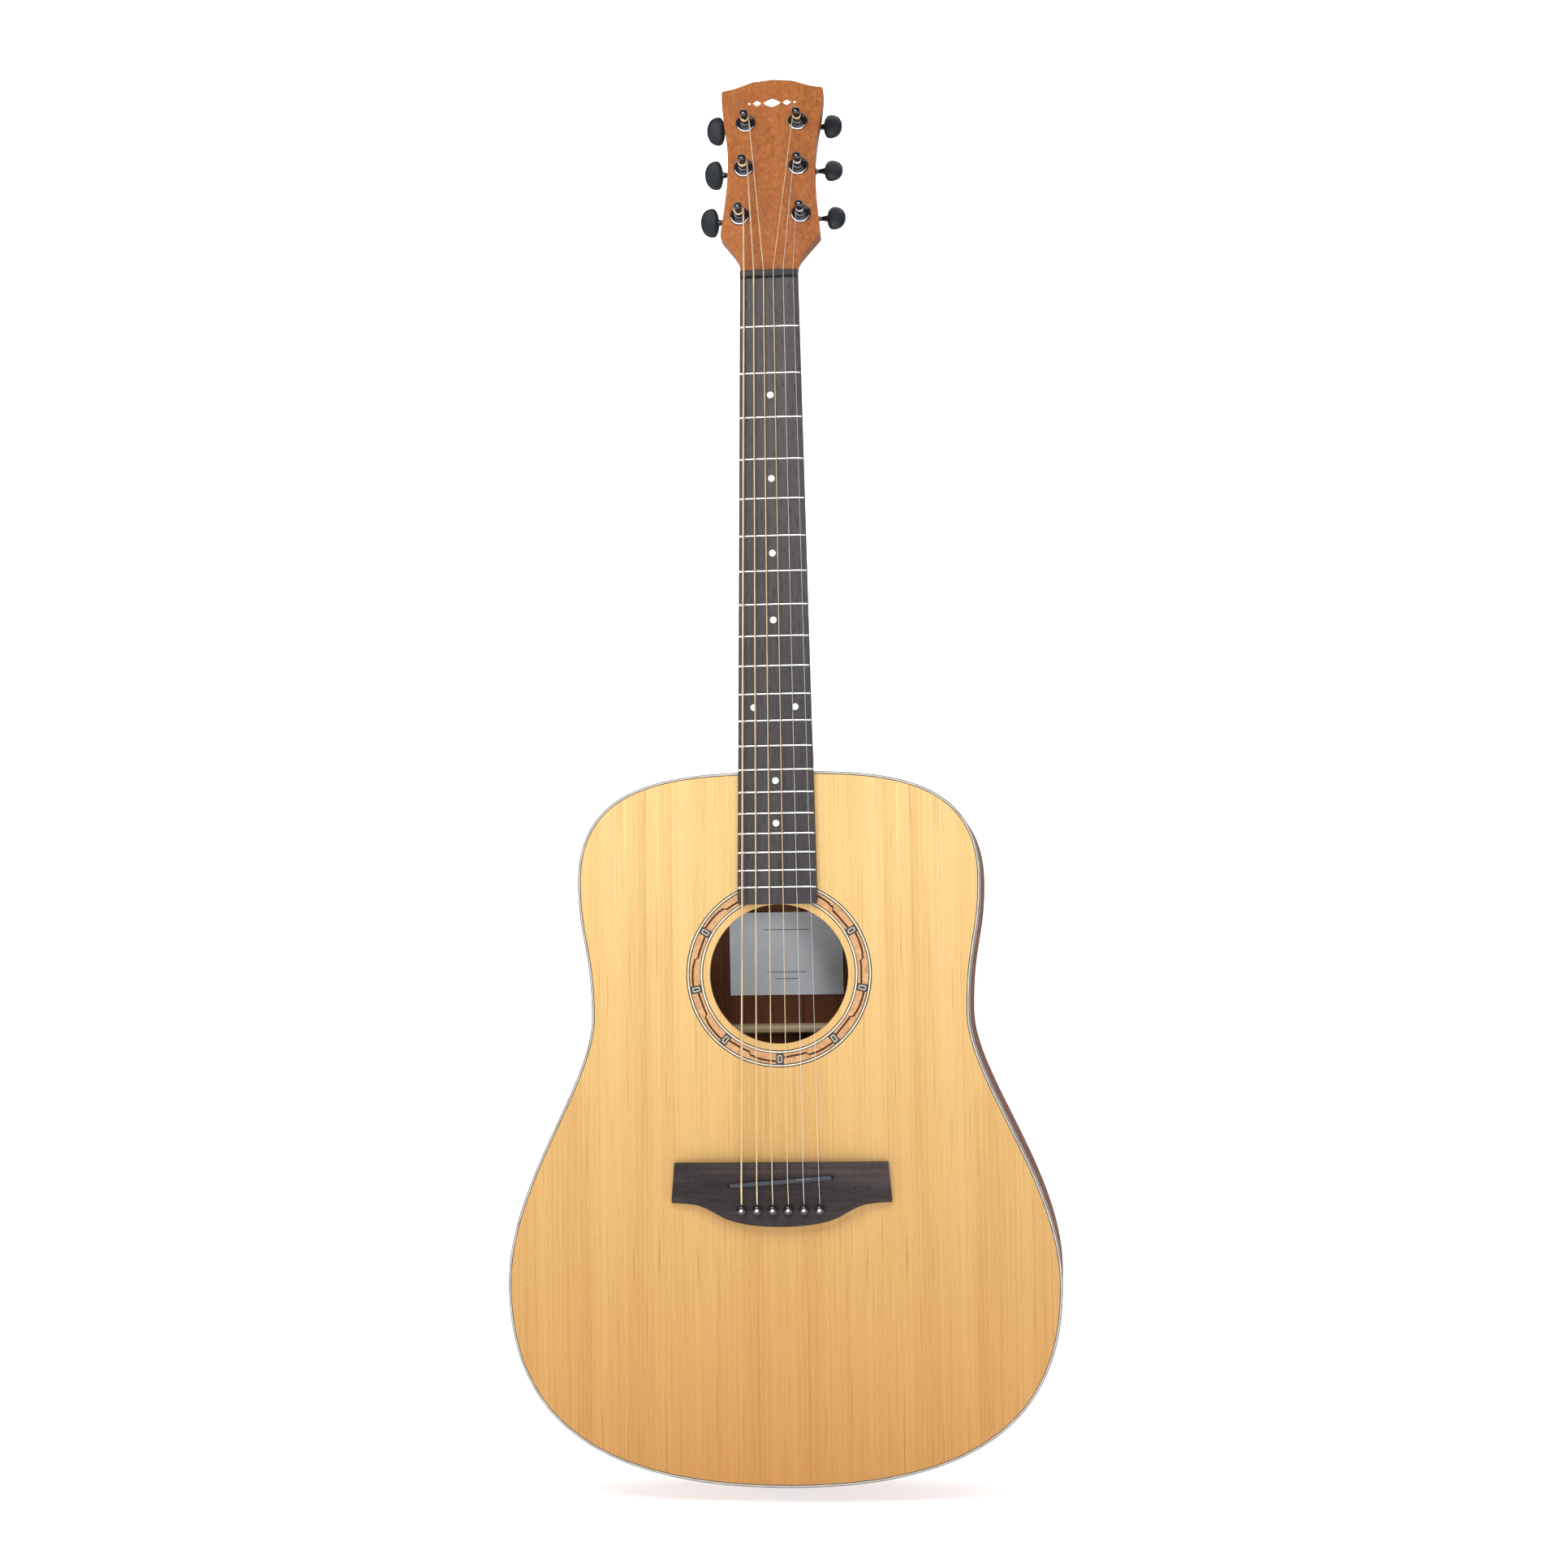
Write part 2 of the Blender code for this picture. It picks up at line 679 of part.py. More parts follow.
def strip(name, insets, heights, finish, neck_gap=False):
    """A strip round the body: for each corner of its section, how far in it is and its Y.

    It is a closed loop, or with neck_gap stops on both sides of the neck's tenon.
    """
    outline = body_outline()
    loops = [inset(outline, distance) for distance in insets]
    edge = TENON_HALF + GAP
    sections = []
    for corners in zip(*loops):
        if neck_gap and corners[0].y > BODY_TOP - 5 * MM and abs(corners[0].x) < edge + 3 * MM:
            continue
        sections.append([(p.x, height(p), p.y) for p, height in zip(corners, heights)])
    if neck_gap:
        for side, place in ((1, 0), (-1, len(sections) + 1)):
            ends = [Vector((side * edge, loop[0].y)) for loop in loops]
            sections.insert(place, [(p.x, height(p), p.y) for p, height in zip(ends, heights)])
    return loft(name, sections, finish, closed=not neck_gap)


def binding_top(finish):
    heights = [lambda p: 0, lambda p: 0, lambda p: BINDING_TALL, lambda p: BINDING_TALL]
    return strip("binding_top", (0, BINDING_WIDE, BINDING_WIDE, 0), heights, finish, neck_gap=True)


def from_back(distance):
    return lambda p: back_surface(p.x, p.y) - distance


def binding_back(finish):
    heights = [from_back(BINDING_TALL), from_back(BINDING_TALL), from_back(0), from_back(0)]
    return strip("binding_back", (0, BINDING_WIDE, BINDING_WIDE, 0), heights, finish)


def linings(finish):
    """Strips of triangular section that widen the gluing edge under each plate."""
    near = RIM_THICK + 0.9 * MM
    far = near + LINING_WIDE
    start = PLATE_THICK + GAP
    end = start + LINING_TALL
    insets = (near, far, near)
    front = [lambda p: start, lambda p: start, lambda p: end]
    back = [from_back(depth + 0.6 * MM) for depth in (start, start, end)]
    strip("lining_top", insets, front, finish, neck_gap=True)
    strip("lining_back", insets, back, finish)


def block(name, face, depth, finish):
    """A block glued inside an end of the body, rebated for the linings to pass; depth runs inwards."""
    inwards = 1 if depth > 0 else -1
    rebate = face + inwards * 6.4 * MM
    front = PLATE_THICK + GAP
    back_near = back_surface(38 * MM, face) - PLATE_THICK - 1 * MM
    back_far = back_surface(38 * MM, face + depth) - PLATE_THICK - 1 * MM
    lining = LINING_TALL + 1 * MM
    side_view = (
        (face, front + lining), (rebate, front + lining), (rebate, front), (face + depth, front),
        (face + depth, back_far), (rebate, back_near), (rebate, back_near - lining),
        (face, back_near - lining),
    )
    sections = [[(x, y, z) for z, y in side_view] for x in (-38 * MM, 38 * MM)]
    return loft(name, sections, finish)


def neck_block(finish):
    made = block("neck_block", BODY_TOP - 3.2 * MM, -56 * MM, finish)
    mortise = box(
        "mortise",
        (-TENON_HALF - GAP, -1 * MM, BODY_TOP - TENON_LENGTH - GAP),
        (TENON_HALF + GAP, TENON_DEPTH + GAP, BODY_TOP + 1 * MM),
    )
    slot = box(
        "rod_slot",
        (-4.6 * MM, -1 * MM, BODY_TOP - 70 * MM),
        (4.6 * MM, ROD_AXIS + 4.5 * MM, BODY_TOP - TENON_LENGTH + 2 * MM),
    )
    cut(made, mortise, slot)
    return made


def tail_block(finish):
    made = block("tail_block", BODY_TAIL + 4.2 * MM, 22 * MM, finish)
    cut(made, end_pin_cutter("tail_pin_hole"))
    return made


def end_pin(finish):
    """The strap button in the tail block; its flat end faces down."""
    z = BODY_TAIL
    y = back_surface(0, z) / 2
    profile = (
        (3.2 * MM, 27 * MM), (3.9 * MM, -0.3 * MM), (6 * MM, -0.3 * MM), (6 * MM, -1.8 * MM),
        (4 * MM, -3.5 * MM), (4 * MM, -5.5 * MM), (6.6 * MM, -7.8 * MM), (5.6 * MM, -9.5 * MM),
    )
    made = turned("end_pin", profile, 14, finish)
    made.location = (0, y, z)
    return made


# ---------------------------------------------------------------- bracing

def brace(name, start, end, wide, tall, surface, direction):
    """A straight bar along (x, z) from start to end, standing on a surface; its ends are tapered."""
    a, b = Vector(start), Vector(end)
    along = (b - a).normalized()
    across = Vector((-along.y, along.x)) * wide / 2
    length = (b - a).length
    taper = min(30 * MM, length / 4)
    stations = [0, taper, length / 2, length - taper, length]
    heights = [2.5 * MM, tall, tall, tall, 2.5 * MM]
    sections = []
    for distance, height in zip(stations, heights):
        centre = a + along * distance
        y = surface(centre.x, centre.y)
        left, right = centre + across, centre - across
        sections.append([
            (left.x, y, left.y), (right.x, y, right.y),
            (right.x, y + direction * height, right.y), (left.x, y + direction * height, left.y),
        ])
    return loft(name, sections, None)


def top_bracing(finish):
    """The X-brace and the bars round it, as one glued lattice under the soundboard."""
    def under(x, z):
        return PLATE_THICK + GAP

    pieces = []
    for name, start, end, wide, tall in TOP_BARS:
        ends = [(x * MM, z * MM) for x, z in (start, end)]
        pieces.append(brace(name, *ends, wide * MM, tall * MM, under, 1))
    made = pieces[0]
    made.name = "top_bracing"
    made.data.materials.append(finish)
    fuse(made, *pieces[1:])
    notch = box("rod_notch", (-5 * MM, 0, -445 * MM), (5 * MM, ROD_AXIS + 4.5 * MM, -425 * MM))
    cut(made, notch)
    return made


def back_bracing(finish):
    """Four cross bars and the strip along the centre seam, glued to the domed back."""
    clearance = PLATE_THICK + 0.8 * MM

    def inside(x, z):
        return back_surface(x, z) - clearance

    top, bottom = BODY_TOP - 62 * MM, BODY_TAIL + 29 * MM
    sections = []
    for i in range(9):
        z = top + (bottom - top) * i / 8
        y = inside(0, z)
        half = 8 * MM
        sections.append([(-half, y, z), (half, y, z), (half, y - 2 * MM, z), (-half, y - 2 * MM, z)])
    made = loft("back_bracing", sections, finish)
    for name, z, half, wide, tall in BACK_BARS:
        ends = ((-half * MM, z * MM), (half * MM, z * MM))
        fuse(made, brace(name, *ends, wide * MM, tall * MM, inside, -1))
    return made


# ---------------------------------------------------------------- bridge

def pin_hole_outline(x):
    """A round hole with a slot towards the saddle, where the string runs down beside the pin."""
    angles = [math.pi * (1 + i / 4) for i in range(5)]
    points = [(PIN_HOLE_RADIUS * math.cos(a), PIN_HOLE_RADIUS * math.sin(a)) for a in angles]
    neck_of_slot = 2.2 * MM
    points += [(PIN_SLOT_HALF, neck_of_slot), (PIN_SLOT_HALF, PIN_SLOT_END)]
    points += [(-PIN_SLOT_HALF, PIN_SLOT_END), (-PIN_SLOT_HALF, neck_of_slot)]
    return [(x + a, PIN_Z + b) for a, b in points]


def pin_cutter(name):
    bm = bmesh.new()
    for x in string_places(PIN_SPAN):
        outline = pin_hole_outline(x)
        add_loft(bm, [[(a, y, b) for a, b in outline] for y in (-14 * MM, 14 * MM)])
    return mesh_object(name, bm, None)


def bridge_outline():
    """Half outline mirrored: straight wings and an ogee that runs into the belly."""
    top_corner = Vector((76.8 * MM, BRIDGE_TOP))
    foot_corner = Vector((79.2 * MM, BRIDGE_WING_FOOT))
    ogee_start = (62 * MM, BRIDGE_WING_FOOT - 1.2 * MM)
    turn = (44 * MM, BRIDGE_WING_FOOT - 9 * MM)
    right = [top_corner, foot_corner]
    into_turn = (50 * MM, turn[1] + 3.5 * MM)
    out_of_turn = (36 * MM, turn[1] - 5 * MM)
    right += curve_between(ogee_start, (56 * MM, ogee_start[1] - 1 * MM), into_turn, turn, 3)
    right += curve_between(turn, out_of_turn, (20 * MM, BRIDGE_BELLY), (0, BRIDGE_BELLY), 4)
    left = [Vector((-p.x, p.y)) for p in reversed(right)]
    return right + [Vector((0, BRIDGE_BELLY))] + left


def wing_cutter(name, side):
    """Takes the bridge's wing down to a thin end."""
    start, end = WING_REACH
    above = -BRIDGE_THICK - 4 * MM
    side_view = ((start, above), (start, -BRIDGE_THICK), (end, -BRIDGE_END_THICK), (end, above))
    sections = []
    for z in (BRIDGE_BELLY - 12 * MM, BRIDGE_TOP + 12 * MM):
        sections.append([(side * x, y, z) for x, y in side_view])
    return loft(name, sections, None)


def saddle_bar(length, wide, front, back):
    """A bar along the slanted saddle line; front may be a function of x for a crowned top."""
    across = Vector((-SADDLE_SLANT, 1)).normalized() * wide / 2
    sections = []
    for x in crown_stations(length / 2):
        y = front(x) if callable(front) else front
        z = saddle_place(x)
        sections.append([
            (x + across.x, y, z + across.y), (x - across.x, y, z - across.y),
            (x - across.x, back, z - across.y), (x + across.x, back, z + across.y),
        ])
    return sections


def bridge(finish):
    made = prism("bridge", bridge_outline(), -BRIDGE_THICK, -GAP, finish)
    length, wide = SADDLE_SIZE
    slot_sections = saddle_bar(length + 0.6 * MM, wide + 0.5 * MM, -20 * MM, SADDLE_SLOT_FLOOR)
    slot = loft("saddle_slot", slot_sections, None)
    cut(made, wing_cutter("wing_bass", -1), wing_cutter("wing_treble", 1), slot)
    cut(made, pin_cutter("bridge_pin_holes"))
    return made


def saddle(finish):
    def top(x):
        return string_bottom_at_saddle(x) + 0.25 * MM

    return loft("saddle", saddle_bar(*SADDLE_SIZE, top, SADDLE_SLOT_FLOOR - GAP), finish)


def bridge_plate(finish):
    outline = ((-62, -652), (62, -652), (78, -702), (-78, -702))
    outline = [(x * MM, z * MM) for x, z in outline]
    front = PLATE_THICK + GAP
    made = prism("bridge_plate", outline, front, front + 2.4 * MM, finish)
    cut(made, pin_cutter("plate_pin_holes"))
    return made


def bridge_pins(finish):
    """Tapered pins with round heads, pushed in from the front."""
    surface = BRIDGE_THICK + GAP
    profile = (
        (1.7 * MM, -17 * MM), (2.3 * MM, surface), (2.5 * MM, surface), (2.5 * MM, surface + 0.9 * MM),
        (3.5 * MM, surface + 2 * MM), (3.8 * MM, surface + 3 * MM), (2.9 * MM, surface + 4.3 * MM),
    )
    for number, x in zip(STRING_NUMBERS, string_places(PIN_SPAN)):
        made = turned(f"bridge_pin_{number}", profile, 8, finish)
        made.rotation_euler = (math.radians(90), 0, 0)
        made.location = (x, 0, PIN_Z)


# ---------------------------------------------------------------- strings

def string_route(index):
    """From under the bridge plate, up beside the pin, over the saddle and nut, to its post."""
    radius = STRING_DIAMETERS[index] / 2
    pin_x = string_places(PIN_SPAN)[index]
    saddle_x = string_places(SADDLE_SPAN)[index]
    nut_x = string_places(NUT_SPAN)[index]
    post_x, along = post_places()[index]
    inner = -math.copysign(POST_WAIST + GAP + radius, post_x)
    rise = PIN_Z + 3.6 * MM
    saddle_y = string_bottom_at_saddle(saddle_x) - radius
    nut_y = string_bottom_at_nut(nut_x) - radius
    on_saddle = Vector((saddle_x, saddle_y, saddle_place(saddle_x)))
    mouth = Vector((pin_x, -8.5 * MM, rise + 0.7 * MM))
    toward_saddle = (on_saddle - mouth).normalized()
    end = on_head(post_x + inner, along, STRING_LEVEL)
    on_nut = Vector((nut_x, nut_y, NUT_THICK))
    toward_post = (end - on_nut).normalized()
    return [
        Vector((pin_x, 6.8 * MM, rise)), Vector((pin_x, -7.6 * MM, rise)),
        Vector((pin_x, -8.2 * MM, rise + 0.2 * MM)), mouth,
        on_saddle - toward_saddle * 1.2 * MM, on_saddle + Vector((0, 0, 1.2 * MM)),
        on_nut - Vector((0, 0, 1 * MM)), on_nut + toward_post * 1 * MM,
        end, end + toward_post * 2 * MM,
    ]


def string(index, finish):
    name = f"string_{STRING_NUMBERS[index]}"
    curve = bpy.data.curves.new(name, "CURVE")
    curve.dimensions = "3D"
    curve.bevel_depth = STRING_DIAMETERS[index] / 2
    curve.bevel_resolution = 2
    curve.use_fill_caps = True
    route = string_route(index)
    spline = curve.splines.new("POLY")
    spline.points.add(len(route) - 1)
    for point, place in zip(spline.points, route):
        point.co = (*place, 1)
    curve.materials.append(finish)
    obj = bpy.data.objects.new(name, curve)
    bpy.context.scene.collection.objects.link(obj)
    return obj


# ---------------------------------------------------------------- tuning machines
# Each is built in its seat's frame: X across the head, Y up the head, Z out of its face.

def place_in(obj, seat, location=(0, 0, 0)):
    obj.parent = seat
    obj.location = location


def gear_sections(low, high):
    """A gear whose teeth lean with the worm's lead; a gap faces the worm at mid height."""
    root = GEAR_PITCH_RADIUS - 1.25 * MODULE
    tip = GEAR_PITCH_RADIUS + MODULE
    half = LEAD / 4 - TOOTH_THINNED
    slope = math.tan(math.radians(20))
    root_half = (half + (GEAR_PITCH_RADIUS - root) * slope) / root
    tip_half = (half - MODULE * slope) / tip
    profile = ((root, -root_half), (tip, -tip_half), (tip, tip_half), (root, root_half))
    lean = LEAD / (2 * math.pi * WORM_PITCH_RADIUS) / GEAR_PITCH_RADIUS
    middle = (low + high) / 2
    sections = []
    for height in (low, high):
        points = []
        for tooth in range(GEAR_TEETH):
            centre = math.pi / 2 + 2 * math.pi * (tooth + 0.5) / GEAR_TEETH
            centre += lean * (height - middle)
            for radius, offset in profile:
                angle = centre + offset
                points.append((radius * math.cos(angle), radius * math.sin(angle), height))
        sections.append(points)
    return sections


def tuner_post(name, seat, finish):
    middle = -KEY_DEPTH
    bm = bmesh.new()
    add_loft(bm, gear_sections(middle - 1.5 * MM, middle + 1.5 * MM))
    gear = mesh_object(f"{name}_gear", bm, None)
    profile = (
        (1.9 * MM, middle - 2.4 * MM), (POST_RADIUS, middle + 0.5 * MM), (POST_RADIUS, 5 * MM),
        (POST_WAIST, 6 * MM), (POST_WAIST, 11 * MM),
        (POST_RADIUS, 12.3 * MM), (POST_RADIUS, POST_TOP - 1.2 * MM), (1.9 * MM, POST_TOP),
    )
    made = turned(name, profile, 10, finish)
    hole = turned(f"{name}_hole", [(0.9 * MM, -5 * MM), (0.9 * MM, 5 * MM)], 6, None)
    for piece in (made, gear):
        place_in(piece, seat)
    hole.parent = seat
    hole.location = (0, 0, 9.8 * MM)
    hole.rotation_euler = (0, math.radians(90), 0)
    fuse(made, gear)
    cut(made, hole)
    return made


def round_section(first, reach, half_length, half_thick, turn):
    """A closed section across the key's axis: an ellipse turned about it, starting at angle step first."""
    points = []
    for k in range(WORM_STEPS):
        angle = 2 * math.pi * (first + k) / WORM_STEPS - turn
        along, out = -half_length * math.cos(angle), -half_thick * math.sin(angle)
        y = along * math.cos(turn) - out * math.sin(turn)
        z = along * math.sin(turn) + out * math.cos(turn)
        points.append((reach, y, z))
    return points


def add_worm(bm):
    """A right-handed thread about X whose crest faces the gear at X = 0; returns its two end rings."""
    root = WORM_PITCH_RADIUS - 1.25 * MODULE
    tip = WORM_PITCH_RADIUS + MODULE
    half = LEAD / 4 - TOOTH_THINNED
    slope = math.tan(math.radians(20))
    foot = half + (WORM_PITCH_RADIUS - root) * slope
    crest = half - MODULE * slope
    last = WORM_HALF_STEPS

    def at(step, radius, offset):
        angle = 2 * math.pi * step / WORM_STEPS
        reach = LEAD * step / WORM_STEPS + offset
        return bm.verts.new((reach, -radius * math.cos(angle), -radius * math.sin(angle)))

    steps = range(-last, last + 1)
    near = {i: at(i, root, -foot) for i in steps}
    near_tip = {i: at(i, tip, -crest) for i in steps}
    far_tip = {i: at(i, tip, crest) for i in steps}
    far = {i: at(i, root, foot) for i in steps}
    for i in range(-last, last):
        for left, right in ((near, near_tip), (near_tip, far_tip), (far_tip, far)):
            bm.faces.new((left[i], left[i + 1], right[i + 1], right[i]))
    for i in range(-last, last - WORM_STEPS):
        above = i + WORM_STEPS
        bm.faces.new((far[i], far[i + 1], near[above + 1], near[above]))
    for i in (-last, last):
        bm.faces.new((near[i], near_tip[i], far_tip[i], far[i]))
    end = LEAD * last / WORM_STEPS + foot + 0.2 * MM
    inner = [bm.verts.new(p) for p in round_section(-last, -end, root, root, 0)]
    outer = [bm.verts.new(p) for p in round_section(last - WORM_STEPS, end, root, root, 0)]
    for k in range(WORM_STEPS - 1):
        i = k - last
        bm.faces.new((inner[k], inner[k + 1], near[i + 1], near[i]))
        j = last - WORM_STEPS + k + 1
        bm.faces.new((far[j], far[j + 1], outer[(k + 2) % WORM_STEPS], outer[k + 1]))
    seam = WORM_STEPS - last
    bm.faces.new((inner[-1], inner[0], near[-last], far[-last], near[seam], near[seam - 1]))
    bm.faces.new((far[-seam], far[1 - seam], outer[1], outer[0], far[last], near[last]))
    return inner, outer


def add_sections(bm, ring, sections):
    """Carry a ring of vertices on through more sections and cap the last."""
    for section in sections:
        following = [bm.verts.new(p) for p in section]
        for k in range(len(ring)):
            j = (k + 1) % len(ring)
            bm.faces.new((ring[k], ring[j], following[j], following[k]))
        ring = following
    bm.faces.new(ring)


def tuner_key(name, seat, side, turn, finish):
    """The worm, its shaft and the kidney button; the object's X axis is the key's axis."""
    bm = bmesh.new()
    inner, outer = add_worm(bm)
    end = inner[0].co.x
    stub = ((end - 0.1 * MM, 1.2 * MM), (-4.9 * MM, 1.2 * MM))
    first = -WORM_HALF_STEPS
    add_sections(bm, inner, [round_section(first, reach, r, r, 0) for reach, r in stub])
    shaft = 1.45 * MM
    shapes = [(4 * MM, shaft, shaft), (BUTTON_REACH - 9.5 * MM, shaft, shaft)]
    shapes += [(BUTTON_REACH + x * MM, length * MM, thick * MM) for x, length, thick in BUTTON_SHAPE]
    first = WORM_HALF_STEPS - WORM_STEPS
    turn *= side
    add_sections(bm, outer, [round_section(first, *shape, turn) for shape in shapes])
    made = mesh_object(name, bm, finish)
    if side < 0:
        made.data.transform(Matrix.Rotation(math.pi, 4, "Y"))
    place_in(made, seat, (0, GEAR_CENTRES, -KEY_DEPTH))
    return made


def tuner_housing(name, seat, side, finish):
    """A die-cast case behind the head, hollow for the gear and the worm."""
    top = -HEAD_THICK - GAP
    floor = top - HOUSING_DEPTH

    def ring(height, shrink):
        return [(x * MM * shrink, y * MM * shrink, height) for x, y in HOUSING_OUTLINE]

    made = loft(name, [ring(top, 1), ring(floor + 1.2 * MM, 1), ring(floor, 0.88)], finish)
    cavity = box(
        f"{name}_cavity",
        (-5.5 * MM, -5.1 * MM, -KEY_DEPTH - 3.2 * MM),
        (5.5 * MM, 9.4 * MM, -KEY_DEPTH + 3.1 * MM),
    )
    post_hole = turned(f"{name}_post_hole", [(3.45 * MM, -KEY_DEPTH), (3.45 * MM, 0)], 10, None)
    key_hole = turned(f"{name}_key_hole", [(1.9 * MM, 0), (1.9 * MM, 20 * MM)], 10, None)
    key_hole.data.transform(Matrix.Rotation(math.radians(90) * side, 4, "Y"))
    for piece in (made, cavity, post_hole):
        place_in(piece, seat)
    place_in(key_hole, seat, (0, GEAR_CENTRES, -KEY_DEPTH))
    cut(made, cavity, post_hole, key_hole)
    return made


def tuner_bushing(name, seat, finish):
    """The flanged bushing pressed in from the head's face, bored for the post."""
    bore, tube, flange = 3.35 * MM, 4.6 * MM, 7 * MM
    profile = (
        (bore, -9 * MM), (tube, -9 * MM), (tube, GAP), (flange, GAP), (flange, 1 * MM), (bore, 2.4 * MM),
    )
    made = turned(name, profile, 12, finish, closed=True)
    place_in(made, seat)
    return made


def tuning_machines(finish):
    for index, number in enumerate(STRING_NUMBERS):
        x, along = post_places()[index]
        side = math.copysign(1, x)
        seat = bpy.data.objects.new(f"tuner_seat_{number}", None)
        seat.location = on_head(x, along)
        seat.rotation_euler = (math.radians(90) - HEAD_TILT, 0, 0)
        bpy.context.scene.collection.objects.link(seat)
        tuner_housing(f"tuner_housing_{number}", seat, side, finish["black_chrome"])
        tuner_bushing(f"tuner_bushing_{number}", seat, finish["black_chrome"])
        tuner_post(f"tuner_post_{number}", seat, finish["black_chrome"])
        tuner_key(f"tuner_key_{number}", seat, side, KEY_TURNS[index], finish["black_plastic"])


# ---------------------------------------------------------------- the instrument

def main():
    for obj in list(bpy.data.objects):
        bpy.data.objects.remove(obj, do_unlink=True)
    finish = finishes()
    neck(finish["mahogany"])
    heel_cap(finish["rosewood"])
    truss_rod(finish["steel"])
    truss_rod_nut(finish["steel"])
    fingerboard(finish["ebony"])
    frets(finish["fret_wire"])
    nut(finish["black_plastic"])
    soundboard(finish["spruce"])
    rosette(finish["rosette"])
    back_plate(finish["mahogany"])
    rim("rim_bass", -1, finish["mahogany"])
    rim("rim_treble", 1, finish["mahogany"])
    binding_top(finish["binding"])
    binding_back(finish["binding"])
    linings(finish["inner_wood"])
    neck_block(finish["inner_wood"])
    tail_block(finish["inner_wood"])
    top_bracing(finish["inner_wood"])
    back_bracing(finish["inner_wood"])
    bridge(finish["rosewood"])
    saddle(finish["black_plastic"])
    bridge_plate(finish["rosewood"])
    bridge_pins(finish["black_plastic"])
    end_pin(finish["black_plastic"])
    for index in range(6):
        string(index, finish["bronze" if index < 4 else "steel"])
    tuning_machines(finish)


main()
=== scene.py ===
import math

import bmesh
import bpy
from mathutils import Matrix, Vector
from mathutils.geometry import interpolate_bezier


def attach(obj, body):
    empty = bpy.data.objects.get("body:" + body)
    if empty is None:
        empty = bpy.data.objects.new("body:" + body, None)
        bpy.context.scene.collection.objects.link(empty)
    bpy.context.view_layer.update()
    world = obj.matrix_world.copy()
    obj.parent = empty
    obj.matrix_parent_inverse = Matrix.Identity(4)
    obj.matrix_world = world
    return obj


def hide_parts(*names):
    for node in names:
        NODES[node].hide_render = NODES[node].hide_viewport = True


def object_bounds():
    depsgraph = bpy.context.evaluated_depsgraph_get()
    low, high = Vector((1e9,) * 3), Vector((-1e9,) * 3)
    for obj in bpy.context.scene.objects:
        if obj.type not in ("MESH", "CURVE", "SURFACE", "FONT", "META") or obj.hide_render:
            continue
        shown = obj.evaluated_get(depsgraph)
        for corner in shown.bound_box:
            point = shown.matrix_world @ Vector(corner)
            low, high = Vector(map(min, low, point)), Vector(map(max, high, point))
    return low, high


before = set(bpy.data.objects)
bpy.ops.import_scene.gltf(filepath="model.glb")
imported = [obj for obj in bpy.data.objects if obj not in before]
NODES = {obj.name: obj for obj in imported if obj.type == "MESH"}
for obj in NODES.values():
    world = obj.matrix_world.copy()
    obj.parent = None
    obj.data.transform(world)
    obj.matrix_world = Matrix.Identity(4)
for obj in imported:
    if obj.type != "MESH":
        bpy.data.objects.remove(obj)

# Looks of the acoustic guitar. Lengths are in millimetres until a mesh is made.
# +Z runs up the neck, -Y comes out of the soundboard, +X is the treble side.

CAD_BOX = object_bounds()

SCALE = 650
STRINGS = (6, 5, 4, 3, 2, 1)
DIAMETERS = {6: 1.35, 5: 1.07, 4: 0.81, 3: 0.61, 2: 0.41, 1: 0.30}
BOARD_THICK = 6
BOARD_RADIUS = 400
BOARD_NUT_WIDTH = 42.6
BOARD_END_WIDTH = 57.6
BOARD_END = -457.5
FRETS = 20
FRET_HEIGHT = 1.1
NUT_THICK = 5.5
HEAD_TILT = math.radians(14)
HEAD_THICK = 15
HEAD_CREST = 161
HEAD_CORNER = (38.2, 153)
HEAD_WAIST = (32.4, 88)
HEAD_FLARE = (36.9, 31)
SHAFT_DEPTHS = (15, 17.5)
SHAFT_END = -300
HEEL_REACH = 27
HEEL_DEPTH = 96.5
BODY_TOP = -361.5
UPPER_BOUT = (146, -440)
WAIST = (136.5, -537)
LOWER_BOUT = (199, -728)
BODY_TAIL = -872
DEPTH_AT_NECK = 100
DEPTH_AT_TAIL = 118
BACK_RADIUS = 4600
PLATE = 2.8
HOLE_Z = -507.5
SADDLE_Z = -655.5
SADDLE_SLANT = 0.075
PIN_Z = -675.5
NUT_SPAN = 35.9
PIN_SPAN = 56.0
POSTS = {6: (-22.6, 46.8), 5: (-20.3, 86.8), 4: (-19.5, 124.5),
         3: (19.5, 124.5), 2: (20.3, 86.8), 1: (22.6, 46.8)}
BUTTON_TURNS = {6: 30, 5: 33, 4: 22, 3: -10, 2: -21, 1: -15}
BUTTON_REACH = 25
KEY_DEPTH = 19.4
GEAR_CENTRES = 6.0
CASE_MIDDLE = 1.6
SCREW_DROP = 9.8
DOT_FRETS = (3, 5, 7, 9, 15, 17)


# ---- node materials

